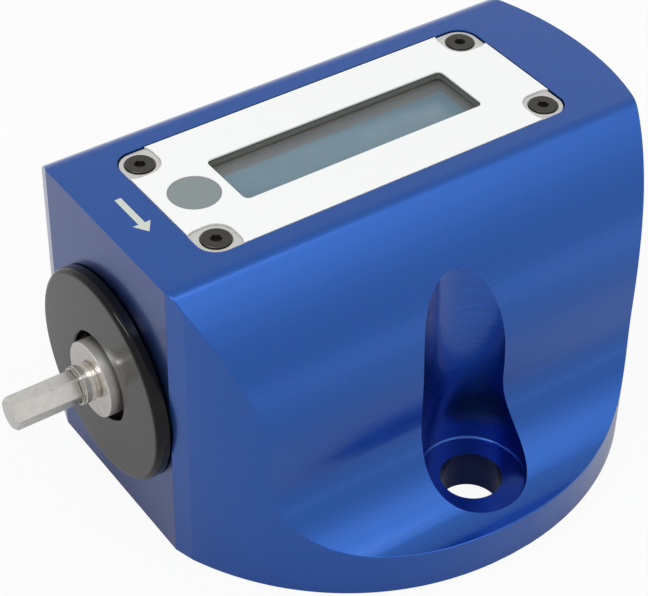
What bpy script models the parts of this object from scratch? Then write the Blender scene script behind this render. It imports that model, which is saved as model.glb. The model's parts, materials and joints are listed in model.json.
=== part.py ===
"""Bench torque tester.

A D-shaped anodised block is bolted to a bench through two flange holes. A hex drive stands out of
its flat front, on a shaft that runs in a bearing and twists between the drive and a bolted anchor.
Strain gauges on the shaft feed a board in the top pocket, under a framed character display.
"""
import math

import bmesh
import bpy
from mathutils import Matrix, Vector

# General clearances
GAP = 0.0003
BOND = 0.0001
RUNNING_GAP = 0.0002
OVERSHOOT = 0.002

# Facets round a turn, by size
LARGE_TURN = 36
MEDIUM_TURN = 26
SMALL_TURN = 12
ROUND_CORNER = 5

# Block: plan, side profile and top
END_MARGIN = 0.0194
BODY_HALF_WIDTH = 0.0702
PLAN_POWER = 2.05
FRONT_MARGIN = 0.0140
FRONT_HALF_WIDTH = 0.0255
CORNER_HALF_WIDTH = 0.0303
CORNER_DEPTH = 0.0015
FLANGE_HEIGHT = 0.0109
FLANGE_FILLET = 0.02125
WAIST_HALF_WIDTH = 0.0471
CROWN_RADIUS = 0.0523
CROWN_DROP = 0.0413
SHOULDER_RADIUS = 0.0060

# Bench bolts
BOLT_INSET = 0.0178
BOLT_PLACE = 0.0010
BOLT_HOLE_RADIUS = 0.00735
BOLT_SEAT_RADIUS = 0.01295
BOLT_SEAT_DEPTH = 0.0005
BOLT_SEAT_CORNER = 0.0006

# Panel
PANEL_END_MARGIN = 0.0093
PANEL_SIDE_MARGIN = 0.00205
PANEL_CORNER = 0.00475
FILM_THICKNESS = 0.0004
PLATE_WEB = 0.0003
GASKET_THICKNESS = 0.0005
GASKET_WIDTH = 0.0012
WINDOW_LENGTH = 0.0660
WINDOW_WIDTH = 0.01685
WINDOW_CORNER = 0.0015
WINDOW_OFFSET = 0.0003
PANE_THICKNESS = 0.0006
PANE_MARGIN = 0.0020

# Panel screws
COVER_HEAD_RADIUS = 0.0034
COVER_HEAD_RIM = 0.0005
COVER_HEAD_RECESS = 0.0001
COVER_SHANK_RADIUS = 0.0019
COVER_SCREW_LENGTH = 0.0120
COVER_SOCKET_WIDTH = 0.0025
COVER_SOCKET_DEPTH = 0.0013

# Key
KEY_RADIUS = 0.0059
KEY_INSET = 0.0092
KEY_THICKNESS = 0.00055
KEY_SET_BACK = 0.0001
KEY_TRAVEL = 0.0003
KEY_CLEARANCE = 0.0001
KEY_DOME_RADIUS = 0.0048
KEY_DOME_RISE = 0.00025
KEY_DOME_THICKNESS = 0.00012
KEY_CIRCUIT_THICKNESS = 0.0002
TAIL_WIDTH = 0.0060
TAIL_THICKNESS = 0.0003
TAIL_OFFSET = 0.0044

# Electronics pocket and battery well
BORE_ROOF = 0.0018
POCKET_END_CLEARANCE = 0.0007
POCKET_SIDE_CLEARANCE = 0.0006
POCKET_CORNER = 0.0020
END_POCKET_CLEARANCE = 0.0016
TONGUE_CLEARANCE = 0.0014
WELL_POSITION = 0.0300
WELL_EDGE = 0.00195
WELL_WALL = 0.00965

# Display module
BOARD_THICKNESS = 0.0016
BOARD_END_MARGIN = 0.0040
BOARD_SIDE_MARGIN = 0.0049
BEZEL_END_MARGIN = 0.0030
BEZEL_SIDE_MARGIN = 0.004675
BEZEL_HEIGHT = 0.0074
BEZEL_WALL = 0.0008
BEZEL_TOP = 0.0004
GLASS_THICKNESS = 0.0022
DISPLAY_HOLE_INSET = 0.0025
SPACER_RADIUS = 0.0021
SMALL_SHANK_RADIUS = 0.0010
SMALL_HEAD_RADIUS = 0.0019
SMALL_HEAD_HEIGHT = 0.0013
SMALL_SOCKET_WIDTH = 0.0013
SMALL_SOCKET_DEPTH = 0.0007
DISPLAY_SCREW_LENGTH = 0.0060

# Main board
MAIN_BOARD_WIDTH = 0.0330
MAIN_BOARD_TONGUE = 0.0180
MAIN_BOARD_LIFT = 0.0032
MAIN_BOARD_MARGIN = 0.0021
CLIP_CLEARANCE = 0.0059
BOARD_SPACING = 0.00408
BOARD_HOLE_LENGTH = 0.0480
BOARD_HOLE_EDGE = 0.0066
BOARD_HOLE_INSET = 0.0035
STANDOFF_RADIUS = 0.0022
BOARD_SCREW_LENGTH = 0.0075
PROCESSOR_SIZE = (0.0120, 0.0120, 0.0014)
PROCESSOR_OFFSET = 0.0135
PROCESSOR_SIDE = 0.0102
AMPLIFIER_SIZE = (0.0100, 0.0062, 0.0016)
AMPLIFIER_OFFSET = 0.0090
AMPLIFIER_SIDE = 0.0020
GAUGE_PLUG_SIZE = (0.0070, 0.0080, 0.0030)
GAUGE_PLUG_OFFSET = 0.0090
TAIL_PLUG_SIZE = (0.0030, 0.0100, 0.0018)
BATTERY_PLUG_SIZE = (0.0060, 0.0070, 0.0028)
BATTERY_PLUG_EDGE = 0.0011
HEADER_WIDTH = 0.0024
HEADER_END_CLEARANCE = 0.0031
HEADER_EDGE = 0.0005

# Battery
BATTERY_SIZE = (0.0175, 0.0265, 0.0464)
BATTERY_CORNER = 0.0020
TERMINAL_RADIUS = 0.0028
TERMINAL_HEIGHT = 0.0020
TERMINAL_SPACING = 0.0127
CLIP_SIZE = (0.0130, 0.0250, 0.0034)
BATTERY_LEAD_RADIUS = 0.0006

# Drive shaft, measured from the block's front
SHAFT_HEIGHT = 0.0370
HEX_WIDTH = 0.0072
HEX_TURN = math.radians(56.0)
HEX_REACH = 0.0263
HEX_CORNER_TRIM = 0.0001
HEX_END_CHAMFER = 0.0006
NECK_RADIUS = 0.00465
NECK_REACH = 0.0091
NECK_UNDERCUT_RADIUS = 0.0042
NECK_UNDERCUT_WIDTH = 0.0007
COLLAR_RADIUS = 0.00927
COLLAR_REACH = 0.00582
COLLAR_CHAMFER = 0.0003
TORSION_RADIUS = 0.0055
TORSION_START = 0.0150
TORSION_FILLET = 0.0025
GAUGE_FLAT_HEIGHT = 0.0046
GAUGE_FLAT_LENGTH = 0.0140
HUB_STEP = 0.0002
HUB_LENGTH = 0.0065
HUB_CLEARANCE = 0.0009
ANCHOR_EDGE = 0.0054
ANCHOR_THICKNESS = 0.0080
STOP_RING_WALL = 0.00035
STOP_RING_THICKNESS = 0.0004

# Anchor screws
ANCHOR_SHANK_RADIUS = 0.0019
ANCHOR_HEAD_RADIUS = 0.0034
ANCHOR_HEAD_HEIGHT = 0.0038
ANCHOR_SCREW_LENGTH = 0.0180
ANCHOR_SOCKET_WIDTH = 0.0030
ANCHOR_SOCKET_DEPTH = 0.0020

# Gauges and their lead
GAUGE_SIZE = (0.0080, 0.0044, 0.0003)
LEAD_RADIUS = 0.0009
LEAD_HOLE_RADIUS = 0.0021
LEAD_HOLE_OFFSET = 0.0085

# Bearing
BEARING_BORE_RADIUS = 0.0085
BEARING_SECTION = 0.0045
BEARING_WIDTH = 0.0050
BEARING_WALL = 0.0014
BALL_RADIUS = 0.00150
BALL_COUNT = 10
CAGE_WALL = 0.0006
CAGE_WIDTH = 0.0022

# Front cap
CAP_FLANGE = 0.0041
CAP_THICKNESS = 0.00335
CAP_EDGE_RADIUS = 0.0016
CAP_HOLE_CLEARANCE = 0.00179
SPIGOT_STEP = 0.0037
SPIGOT_LIP = 0.0014
CIRCLIP_WIDTH = 0.0010
CIRCLIP_GRIP = 0.0010
CIRCLIP_WALL = 0.0020
CIRCLIP_OPENING = 0.0060
O_RING_SECTION = 0.00075
O_RING_SQUEEZE = 0.00015
O_RING_POSITION = 0.0046

# Radii that follow from the torsion bar and the bearing
hub_radius = TORSION_RADIUS + TORSION_FILLET + HUB_STEP
anchor_pitch = hub_radius + ANCHOR_HEAD_RADIUS + HUB_CLEARANCE
anchor_radius = anchor_pitch + ANCHOR_EDGE
bore_radius = anchor_radius + GAP
spigot_radius = bore_radius + SPIGOT_STEP
cap_radius = spigot_radius + CAP_FLANGE
cap_hole_radius = COLLAR_RADIUS + CAP_HOLE_CLEARANCE
bearing_radius = BEARING_BORE_RADIUS + BEARING_SECTION
ball_circle = (BEARING_BORE_RADIUS + bearing_radius) / 2
journal_radius = BEARING_BORE_RADIUS - GAP
hex_corner_radius = HEX_WIDTH / math.sqrt(3) - HEX_CORNER_TRIM
stop_ring_inner = hex_corner_radius + RUNNING_GAP

# Levels that follow from the sizes above: the block is as tall as the bore and what lies over it
pocket_floor = SHAFT_HEIGHT + bore_radius + BORE_ROOF
well_floor = pocket_floor - BATTERY_SIZE[2] - 3 * GAP
main_board_bottom = pocket_floor + MAIN_BOARD_LIFT + GAP
main_board_top = main_board_bottom + BOARD_THICKNESS
display_board_bottom = main_board_top + BOARD_SPACING
display_board_top = display_board_bottom + BOARD_THICKNESS
bezel_level = display_board_top + BOND + BEZEL_HEIGHT
glass_top = bezel_level - BEZEL_TOP - BOND
pane_top = bezel_level + BOND + PANE_THICKNESS
plate_bottom = pane_top + BOND
key_floor = plate_bottom + PLATE_WEB
circuit_bottom = key_floor + BOND
circuit_top = circuit_bottom + KEY_CIRCUIT_THICKNESS
dome_top = circuit_top + BOND + KEY_DOME_RISE + KEY_DOME_THICKNESS
key_top = dome_top + KEY_CLEARANCE + KEY_TRAVEL + KEY_THICKNESS
body_height = key_top + KEY_SET_BACK
film_bottom = body_height - FILM_THICKNESS
plate_top = film_bottom - BOND
gasket_top = plate_bottom - GAP
ledge_level = gasket_top - GASKET_THICKNESS - GAP
cover_screw_top = body_height - COVER_HEAD_RECESS
crown_height = body_height - CROWN_DROP
flange_fillet = min(FLANGE_FILLET, crown_height - FLANGE_HEIGHT)
bolt_seat_level = FLANGE_HEIGHT - BOLT_SEAT_DEPTH
bolt_offset = BODY_HALF_WIDTH - BOLT_INSET

# Lengths and places over the base: the panel covers the pocket, which holds the longest of its row
bezel_length = WINDOW_LENGTH + 2 * BEZEL_END_MARGIN
bezel_width = WINDOW_WIDTH + 2 * BEZEL_SIDE_MARGIN
display_board_length = bezel_length + 2 * BOARD_END_MARGIN
display_board_width = bezel_width + 2 * BOARD_SIDE_MARGIN
pocket_length = max(display_board_length + 2 * POCKET_END_CLEARANCE,
                    2 * (WELL_POSITION + BATTERY_SIZE[0] / 2 + WELL_EDGE))
pocket_width = max(display_board_width + 2 * POCKET_SIDE_CLEARANCE,
                   MAIN_BOARD_WIDTH + 2 * MAIN_BOARD_MARGIN)
panel_length = pocket_length + 2 * PANEL_END_MARGIN
panel_width = pocket_width + 2 * PANEL_SIDE_MARGIN
key_position = KEY_INSET - panel_length / 2
main_board_start = key_position - TAIL_OFFSET - TAIL_PLUG_SIZE[0] / 2 - GAP
main_board_end = WELL_POSITION - CLIP_SIZE[0] / 2 - CLIP_CLEARANCE
battery_plug_place = (main_board_end - BATTERY_PLUG_SIZE[0] / 2 - BATTERY_PLUG_EDGE, 0.0)
board_hole_centre = main_board_end - BOARD_HOLE_EDGE - BOARD_HOLE_LENGTH / 2
end_pocket_length = 2 * (END_POCKET_CLEARANCE - main_board_start)
end_pocket_width = MAIN_BOARD_TONGUE + 2 * TONGUE_CLEARANCE
front_offset = panel_length / 2 + FRONT_MARGIN
front_x = -front_offset
body_half_length = panel_length / 2 + END_MARGIN

# Depths from the block's front: the anchor's screws stop short of the battery well
bearing_start = 2 * GAP
bearing_end = bearing_start + BEARING_WIDTH
spigot_length = bearing_end + CIRCLIP_WIDTH + 2 * GAP + SPIGOT_LIP
anchor_tip = WELL_POSITION - BATTERY_SIZE[0] / 2 - 2 * GAP - WELL_WALL - front_x
anchor_start = anchor_tip - ANCHOR_SCREW_LENGTH
anchor_end = anchor_start + ANCHOR_THICKNESS
bore_depth = anchor_end + GAP
torsion_end = anchor_start - HUB_LENGTH - TORSION_FILLET
gauge_centre = (TORSION_START + torsion_end) / 2

# Places on the main board
lead_hole_position = front_x + gauge_centre + LEAD_HOLE_OFFSET
gauge_plug_place = (lead_hole_position + GAUGE_PLUG_OFFSET, 0.0)
amplifier_place = (lead_hole_position - AMPLIFIER_OFFSET, AMPLIFIER_SIDE)
processor_place = (battery_plug_place[0] - PROCESSOR_OFFSET, PROCESSOR_SIDE)
header_length = BOARD_HOLE_LENGTH - 2 * (SMALL_HEAD_RADIUS + HEADER_END_CLEARANCE)
header_place = (board_hole_centre, (HEADER_WIDTH - MAIN_BOARD_WIDTH) / 2 + HEADER_EDGE)

parts = None
cutters = None


# Scene and modelling helpers

def clear_scene():
    """Remove what the file opened with."""
    for item in list(bpy.data.objects):
        bpy.data.objects.remove(item, do_unlink=True)


def new_collection(name, hidden=False):
    """Make a collection under the scene's own."""
    group = bpy.data.collections.new(name)
    bpy.context.scene.collection.children.link(group)
    group.hide_render = hidden
    return group


def material(name, colour, roughness, metallic=0.0):
    """Principled material with one colour."""
    finish = bpy.data.materials.get(name)
    if finish is None:
        finish = bpy.data.materials.new(name)
        finish.use_nodes = True
        shader = finish.node_tree.nodes["Principled BSDF"]
        shader.inputs["Base Color"].default_value = (*colour, 1.0)
        shader.inputs["Roughness"].default_value = roughness
        shader.inputs["Metallic"].default_value = metallic
        finish.diffuse_color = (*colour, 1.0)
    return finish


def add_object(name, mesh, finish=None, location=(0.0, 0.0, 0.0), rotation=(0.0, 0.0, 0.0)):
    """Link a mesh as a part, or as a cutter when it has no finish."""
    item = bpy.data.objects.new(name, mesh)
    item.location = location
    item.rotation_euler = rotation
    if finish is None:
        cutters.objects.link(item)
        item.hide_render = True
        item.display_type = "WIRE"
    else:
        parts.objects.link(item)
        mesh.materials.append(finish)
    return item


def finish_mesh(bm, name, smooth=False):
    """Turn a bmesh into a mesh, with round sides shaded smooth."""
    mesh = bpy.data.meshes.new(name)
    bm.to_mesh(mesh)
    bm.free()
    if smooth:
        mesh.shade_smooth()
        mesh.set_sharp_from_angle(angle=math.radians(35.0))
    return mesh


def block(name, size, centre, finish=None, corner=0.0, steps=ROUND_CORNER):
    """Box with its upright edges rounded."""
    bm = bmesh.new()
    bmesh.ops.create_cube(bm, size=1.0)
    bmesh.ops.scale(bm, vec=size, verts=bm.verts)
    if corner > 0.0:
        upright = [e for e in bm.edges if abs(e.verts[0].co.z - e.verts[1].co.z) > size[2] / 2]
        bmesh.ops.bevel(bm, geom=upright, offset=corner, segments=steps, profile=0.5,
                        affect="EDGES")
    return add_object(name, finish_mesh(bm, name, corner > 0.0), finish, centre)


def cylinder(name, radius, start, end, finish=None, steps=MEDIUM_TURN, location=(0.0, 0.0),
             rotation=(0.0, 0.0, 0.0), base=0.0, spin=0.0):
    """Round bar along its own Z, from start to end above the base level."""
    bm = bmesh.new()
    bmesh.ops.create_cone(bm, cap_ends=True, segments=steps, radius1=radius, radius2=radius,
                          depth=end - start, matrix=Matrix.Rotation(spin, 4, "Z"))
    bmesh.ops.translate(bm, verts=bm.verts, vec=(0.0, 0.0, (start + end) / 2))
    place = (location[0], location[1], base)
    return add_object(name, finish_mesh(bm, name, steps > 6), finish, place, rotation)


def signed_area(points):
    """Area inside a closed outline, positive when it runs anticlockwise."""
    pairs = zip(points, points[1:] + points[:1])
    return sum(a[0] * b[1] - b[0] * a[1] for a, b in pairs) / 2


def turned(name, profile, finish=None, location=(0.0, 0.0, 0.0), along_x=False, steps=LARGE_TURN,
           ring=False):
    """Turn a (radius, height) profile about its own axis.

    A ring's profile closes on itself. Any other profile starts and ends on the axis.
    """
    outline = list(profile)
    if signed_area(outline) > 0.0:
        outline.reverse()
    mesh = bpy.data.meshes.new(name)
    count = len(outline)
    edges = [(i, i + 1) for i in range(count - 1)]
    if ring:
        edges.append((count - 1, 0))
    mesh.from_pydata([(radius, 0.0, height) for radius, height in outline], edges, [])
    rotation = (0.0, math.pi / 2, 0.0) if along_x else (0.0, 0.0, 0.0)
    item = add_object(name, mesh, finish, location, rotation)
    screw = item.modifiers.new("Turn", "SCREW")
    screw.axis = "Z"
    screw.angle = 2 * math.pi
    screw.steps = steps
    screw.render_steps = steps
    screw.use_merge_vertices = True
    screw.merge_threshold = 0.00001
    screw.use_smooth_shade = False
    return item


def on_shaft(name, profile, finish=None, steps=LARGE_TURN, ring=False):
    """Turn a (radius, depth) profile about the shaft, with its depth from the block's front."""
    return turned(name, profile, finish, (front_x, 0.0, SHAFT_HEIGHT), True, steps, ring)


def outline_solid(name, points, thickness, finish=None, location=(0.0, 0.0, 0.0),
                  rotation=(0.0, 0.0, 0.0)):
    """Flat outline with a thickness, centred on its own plane, as a welded mesh."""
    curve = bpy.data.curves.new(name, "CURVE")
    curve.dimensions = "2D"
    curve.fill_mode = "BOTH"
    curve.extrude = thickness / 2
    spline = curve.splines.new("POLY")
    spline.points.add(len(points) - 1)
    for point, (x, y) in zip(spline.points, points):
        point.co = (x, y, 0.0, 1.0)
    spline.use_cyclic_u = True
    guide = bpy.data.objects.new(name + "_outline", curve)
    cutters.objects.link(guide)
    guide.location = location
    guide.rotation_euler = rotation
    bpy.context.view_layer.update()
    evaluated = guide.evaluated_get(bpy.context.evaluated_depsgraph_get())
    mesh = bpy.data.meshes.new_from_object(evaluated)
    place = guide.matrix_world.copy()
    bpy.data.objects.remove(guide, do_unlink=True)
    bm = bmesh.new()
    bm.from_mesh(mesh)
    bmesh.ops.remove_doubles(bm, verts=bm.verts, dist=0.000001)
    bmesh.ops.recalc_face_normals(bm, faces=bm.faces)
    bm.to_mesh(mesh)
    bm.free()
    mesh.materials.clear()
    item = add_object(name, mesh, finish)
    item.matrix_world = place
    return item


def boolean(item, tool, operation="DIFFERENCE"):
    """Cut, join or intersect a part with a tool."""
    step = item.modifiers.new(tool.name, "BOOLEAN")
    step.operation = operation
    step.solver = "EXACT"
    step.object = tool


def arc(centre, radius, start, end, steps):
    """Points along an arc, with its angles in degrees."""
    points = []
    for i in range(steps + 1):
        angle = math.radians(start + (end - start) * i / steps)
        points.append((centre[0] + radius * math.cos(angle),
                       centre[1] + radius * math.sin(angle)))
    return points


def corners(length, width):
    """The four corners of a rectangle about the origin, front left first."""
    half_length = length / 2
    half_width = width / 2
    return [(-half_length, -half_width), (half_length, -half_width),
            (half_length, half_width), (-half_length, half_width)]


def hex_cutter(name, width, top, depth, location, turn=(0.0, 0.0, 0.0)):
    """Six-sided socket tool that reaches down from a head's top."""
    return cylinder(name, width / math.sqrt(3), top - depth, top + OVERSHOOT, None, 6, location,
                    turn)


def smooth_route(points, steps=4):
    """Points along a Catmull-Rom curve through a route."""
    stops = [Vector(p) for p in points]
    stops = [2 * stops[0] - stops[1]] + stops + [2 * stops[-1] - stops[-2]]
    route = []
    for i in range(1, len(stops) - 2):
        before, start, end, after = stops[i - 1:i + 3]
        for k in range(steps):
            t = k / steps
            route.append(0.5 * (2 * start + (end - before) * t
                                + (2 * before - 5 * start + 4 * end - after) * t ** 2
                                + (3 * start - before - 3 * end + after) * t ** 3))
    route.append(stops[-2])
    return route


def lead(name, points, radius, finish):
    """Insulated wire along a route."""
    route = smooth_route(points)
    curve = bpy.data.curves.new(name, "CURVE")
    curve.dimensions = "3D"
    curve.bevel_depth = radius
    curve.bevel_resolution = 2
    curve.use_fill_caps = True
    spline = curve.splines.new("POLY")
    spline.points.add(len(route) - 1)
    for point, place in zip(spline.points, route):
        point.co = (*place, 1.0)
    curve.materials.append(finish)
    item = bpy.data.objects.new(name, curve)
    parts.objects.link(item)
    return item


# Finishes

def blue_anodised():
    return material("blue_anodised_aluminium", (0.030, 0.095, 0.390), 0.33, 0.85)


def black_anodised():
    return material("black_anodised_aluminium", (0.030, 0.030, 0.032), 0.28, 0.55)


def ground_steel():
    return material("ground_steel", (0.600, 0.580, 0.550), 0.24, 1.0)


def bearing_steel():
    return material("bearing_steel", (0.550, 0.550, 0.560), 0.16, 1.0)


def brass():
    return material("brass", (0.620, 0.430, 0.160), 0.30, 1.0)


def black_oxide():
    return material("black_oxide_screw", (0.060, 0.056, 0.052), 0.42, 0.80)


def zinc_plate():
    return material("zinc_plated_screw", (0.560, 0.570, 0.580), 0.30, 0.95)


def clear_anodised():
    return material("clear_anodised_plate", (0.610, 0.600, 0.570), 0.42, 0.60)


def white_film():
    return material("white_film", (0.900, 0.910, 0.910), 0.55)


def grey_key():
    return material("grey_key_film", (0.255, 0.300, 0.310), 0.50)


def clear_pane():
    return material("clear_pane", (0.600, 0.660, 0.660), 0.08)


def bezel_black():
    return material("bezel_black", (0.110, 0.115, 0.112), 0.45, 0.60)


def display_glass():
    return material("display_glass", (0.165, 0.250, 0.310), 0.18)


def board_green():
    return material("board_green", (0.030, 0.160, 0.070), 0.45)


def chip_black():
    return material("chip_black", (0.025, 0.025, 0.028), 0.55)


def plug_white():
    return material("plug_nylon", (0.720, 0.700, 0.640), 0.50)


def rubber_black():
    return material("rubber_black", (0.020, 0.020, 0.022), 0.80)


def gauge_foil():
    return material("gauge_foil", (0.560, 0.330, 0.110), 0.35, 0.30)


def lead_grey():
    return material("lead_grey", (0.320, 0.320, 0.330), 0.60)


def lead_red():
    return material("lead_red", (0.520, 0.030, 0.025), 0.55)


def lead_black():
    return material("lead_black", (0.018, 0.018, 0.020), 0.55)


def battery_jacket():
    return material("battery_jacket", (0.120, 0.120, 0.125), 0.40, 0.30)


# Block

def plan_outline(steps=68):
    """Outline from above: flat front, short corner strips and one round sweep behind them."""
    share = (CORNER_HALF_WIDTH / BODY_HALF_WIDTH) ** (PLAN_POWER / 2)
    limit = math.pi - math.asin(share)
    front_reach = (front_offset - CORNER_DEPTH) / abs(math.cos(limit)) ** (2 / PLAN_POWER)
    points = [(front_x, -FRONT_HALF_WIDTH)]
    for i in range(steps + 1):
        angle = -limit + 2 * limit * i / steps
        across = math.sin(angle)
        along = math.cos(angle)
        reach = body_half_length if along > 0.0 else front_reach
        points.append((
            math.copysign(reach * abs(along) ** (2 / PLAN_POWER), along),
            math.copysign(BODY_HALF_WIDTH * abs(across) ** (2 / PLAN_POWER), across),
        ))
    points.append((front_x, FRONT_HALF_WIDTH))
    return points


def side_profile(crown_steps=11, shoulder_steps=3, fillet_steps=10):
    """Section across the shaft: bench flange, hollow sweep, waist, crown and rounded shoulder."""
    crown_centre = (WAIST_HALF_WIDTH - CROWN_RADIUS, crown_height)
    fillet_centre = (WAIST_HALF_WIDTH + flange_fillet, FLANGE_HEIGHT + flange_fillet)
    rise = CROWN_DROP - SHOULDER_RADIUS
    run = math.sqrt((CROWN_RADIUS - SHOULDER_RADIUS) ** 2 - rise ** 2)
    shoulder_centre = (crown_centre[0] + run, crown_height + rise)
    crown_end = math.degrees(math.atan2(rise, run))
    half = [(BODY_HALF_WIDTH + OVERSHOOT, 0.0), (BODY_HALF_WIDTH + OVERSHOOT, FLANGE_HEIGHT)]
    half += arc(fillet_centre, flange_fillet, 270.0, 180.0, fillet_steps)
    half += arc(crown_centre, CROWN_RADIUS, 0.0, crown_end, crown_steps)
    half += arc(shoulder_centre, SHOULDER_RADIUS, crown_end, 90.0, shoulder_steps)[1:]
    return half + [(-across, up) for across, up in reversed(half)]


def bolt_tools(name, side):
    """Tools for one bench bolt: the hole, and the seat with its round channel up the flank."""
    place = (BOLT_PLACE, side * bolt_offset)
    hole = cylinder(name + "_hole", BOLT_HOLE_RADIUS, -OVERSHOOT, FLANGE_HEIGHT + OVERSHOOT, None,
                    MEDIUM_TURN, place)
    seat = cylinder(name + "_channel", BOLT_SEAT_RADIUS, bolt_seat_level,
                    body_height + OVERSHOOT, None, LARGE_TURN, place)
    bm = bmesh.new()
    bm.from_mesh(seat.data)
    rim = [e for e in bm.edges if all(v.co.z < FLANGE_HEIGHT for v in e.verts)]
    bmesh.ops.bevel(bm, geom=rim, offset=BOLT_SEAT_CORNER, segments=3, profile=0.5,
                    affect="EDGES")
    bm.to_mesh(seat.data)
    bm.free()
    return [hole, seat]


def shaft_cylinder(name, radius, start, end, steps, place=(0.0, 0.0)):
    """Round tool along the shaft's direction, with its depths from the block's front."""
    return cylinder(name, radius, start, end, None, steps, (front_x, place[0]),
                    (0.0, math.pi / 2, 0.0), SHAFT_HEIGHT + place[1])


def bore_tools():
    """Tools for the stepped bore from the front, and the anchor screws' tapped holes."""
    tools = [shaft_cylinder("spigot_bore", spigot_radius + GAP, -OVERSHOOT, spigot_length + GAP,
                            LARGE_TURN),
             shaft_cylinder("shaft_bore", bore_radius, 0.0, bore_depth, LARGE_TURN)]
    for number, place in enumerate(anchor_places(), 1):
        tools.append(shaft_cylinder("anchor_tap_%d" % number, ANCHOR_SHANK_RADIUS + GAP,
                                    bore_depth - OVERSHOOT, anchor_tip, SMALL_TURN, place))
    return tools


def pocket_tools():
    """Tools for the panel recess, the stepped pocket, the battery well and the lead's passage."""
    over = body_height + OVERSHOOT
    recess = (panel_length + 2 * GAP, panel_width + 2 * GAP)
    tools = [block("panel_recess", (*recess, over - ledge_level),
                   (0.0, 0.0, (over + ledge_level) / 2), None, PANEL_CORNER + GAP)]
    depth = over - pocket_floor
    middle = (over + pocket_floor) / 2
    tools.append(block("pocket_middle", (pocket_length, pocket_width, depth),
                       (0.0, 0.0, middle), None, POCKET_CORNER))
    tools.append(block("pocket_ends", (end_pocket_length, end_pocket_width, depth - GAP),
                       (0.0, 0.0, middle + GAP / 2), None, POCKET_CORNER))
    well = (BATTERY_SIZE[0] + 4 * GAP, BATTERY_SIZE[1] + 4 * GAP, over - well_floor)
    tools.append(block("battery_well", well, (WELL_POSITION, 0.0, (over + well_floor) / 2), None,
                       BATTERY_CORNER + GAP))
    tools.append(cylinder("lead_passage", LEAD_HOLE_RADIUS, SHAFT_HEIGHT + bore_radius / 2,
                          pocket_floor + OVERSHOOT, None, SMALL_TURN, (lead_hole_position, 0.0)))
    for number, place in enumerate(cover_screw_places(), 1):
        tip = cover_screw_top - COVER_SCREW_LENGTH - 2 * GAP
        tools.append(cylinder("cover_tap_%d" % number, COVER_SHANK_RADIUS + GAP, tip, over, None,
                              SMALL_TURN, place))
    for number, place in enumerate(board_hole_places(), 1):
        tip = main_board_top + GAP - BOARD_SCREW_LENGTH - GAP
        tools.append(cylinder("board_tap_%d" % number, SMALL_SHANK_RADIUS + GAP, tip,
                              pocket_floor + OVERSHOOT, None, SMALL_TURN, place))
    return tools


def build_housing():
    """Milled block: the plan outline carried up, kept only where the side profile runs."""
    height = body_height + 2 * OVERSHOOT
    housing = outline_solid("housing", plan_outline(), height, blue_anodised(),
                            (0.0, 0.0, body_height / 2))
    profile = outline_solid("side_profile", side_profile(), 3 * body_half_length, None,
                            (0.0, 0.0, 0.0), (math.pi / 2, 0.0, math.pi / 2))
    boolean(housing, profile, "INTERSECT")
    tools = bolt_tools("near_bolt", -1.0) + bolt_tools("far_bolt", 1.0)
    for tool in tools + bore_tools() + pocket_tools():
        boolean(housing, tool)
    return housing


# Panel

def cover_screw_places():
    """Centres of the four panel screws."""
    return corners(panel_length - 2 * PANEL_CORNER, panel_width - 2 * PANEL_CORNER)


def cover_screw_profile(clearance=0.0, rise=0.0):
    """Countersunk head and shank, or the same form wider by a clearance for its hole."""
    top = cover_screw_top
    shank = COVER_SHANK_RADIUS + clearance
    head = COVER_HEAD_RADIUS + clearance
    cone_start = top - COVER_HEAD_RIM
    cone_end = cone_start - (COVER_HEAD_RADIUS - COVER_SHANK_RADIUS)
    tip = top - COVER_SCREW_LENGTH
    return [(0.0, top + rise), (head, top + rise), (head, cone_start), (shank, cone_end),
            (shank, tip), (0.0, tip)]


def window_tool(name, low, high):
    """Tool for the display window through one layer."""
    return block(name, (WINDOW_LENGTH, WINDOW_WIDTH, high - low),
                 (WINDOW_OFFSET, 0.0, (low + high) / 2), None, WINDOW_CORNER)


def build_cover_plate():
    """Metal plate under the film, with countersinks, the window and the key's round recess."""
    plate = block("cover_plate", (panel_length, panel_width, plate_top - plate_bottom),
                  (0.0, 0.0, (plate_top + plate_bottom) / 2), clear_anodised(), PANEL_CORNER)
    boolean(plate, window_tool("plate_window", plate_bottom - OVERSHOOT, plate_top + OVERSHOOT))
    key_recess = cylinder("key_recess", KEY_RADIUS + RUNNING_GAP + GAP, key_floor,
                          plate_top + OVERSHOOT, None, LARGE_TURN, (key_position, 0.0))
    boolean(plate, key_recess)
    slot = block("tail_slot", (TAIL_THICKNESS + 2 * GAP, TAIL_WIDTH + 2 * GAP, 2 * OVERSHOOT),
                 (key_position - TAIL_OFFSET, 0.0, plate_bottom))
    boolean(plate, slot)
    for number, (x, y) in enumerate(cover_screw_places(), 1):
        boolean(plate, turned("countersink_%d" % number, cover_screw_profile(GAP, OVERSHOOT),
                              None, (x, y, 0.0), steps=SMALL_TURN + 4))


def build_overlay_film():
    """White film with a square notch round each screw, the window and the key hole."""
    film = block("overlay_film", (panel_length, panel_width, FILM_THICKNESS),
                 (0.0, 0.0, body_height - FILM_THICKNESS / 2), white_film(), PANEL_CORNER)
    boolean(film, window_tool("film_window", film_bottom - OVERSHOOT, body_height + OVERSHOOT))
    boolean(film, cylinder("film_key_hole", KEY_RADIUS + RUNNING_GAP, film_bottom - OVERSHOOT,
                           body_height + OVERSHOOT, None, LARGE_TURN, (key_position, 0.0)))
    notch = 2 * PANEL_CORNER + OVERSHOOT
    for number, (x, y) in enumerate(cover_screw_places(), 1):
        outward = (math.copysign(OVERSHOOT / 2, x), math.copysign(OVERSHOOT / 2, y))
        boolean(film, block("film_notch_%d" % number, (notch, notch, 2 * OVERSHOOT),
                            (x + outward[0], y + outward[1], film_bottom), None,
                            PANEL_CORNER - GAP))


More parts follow.
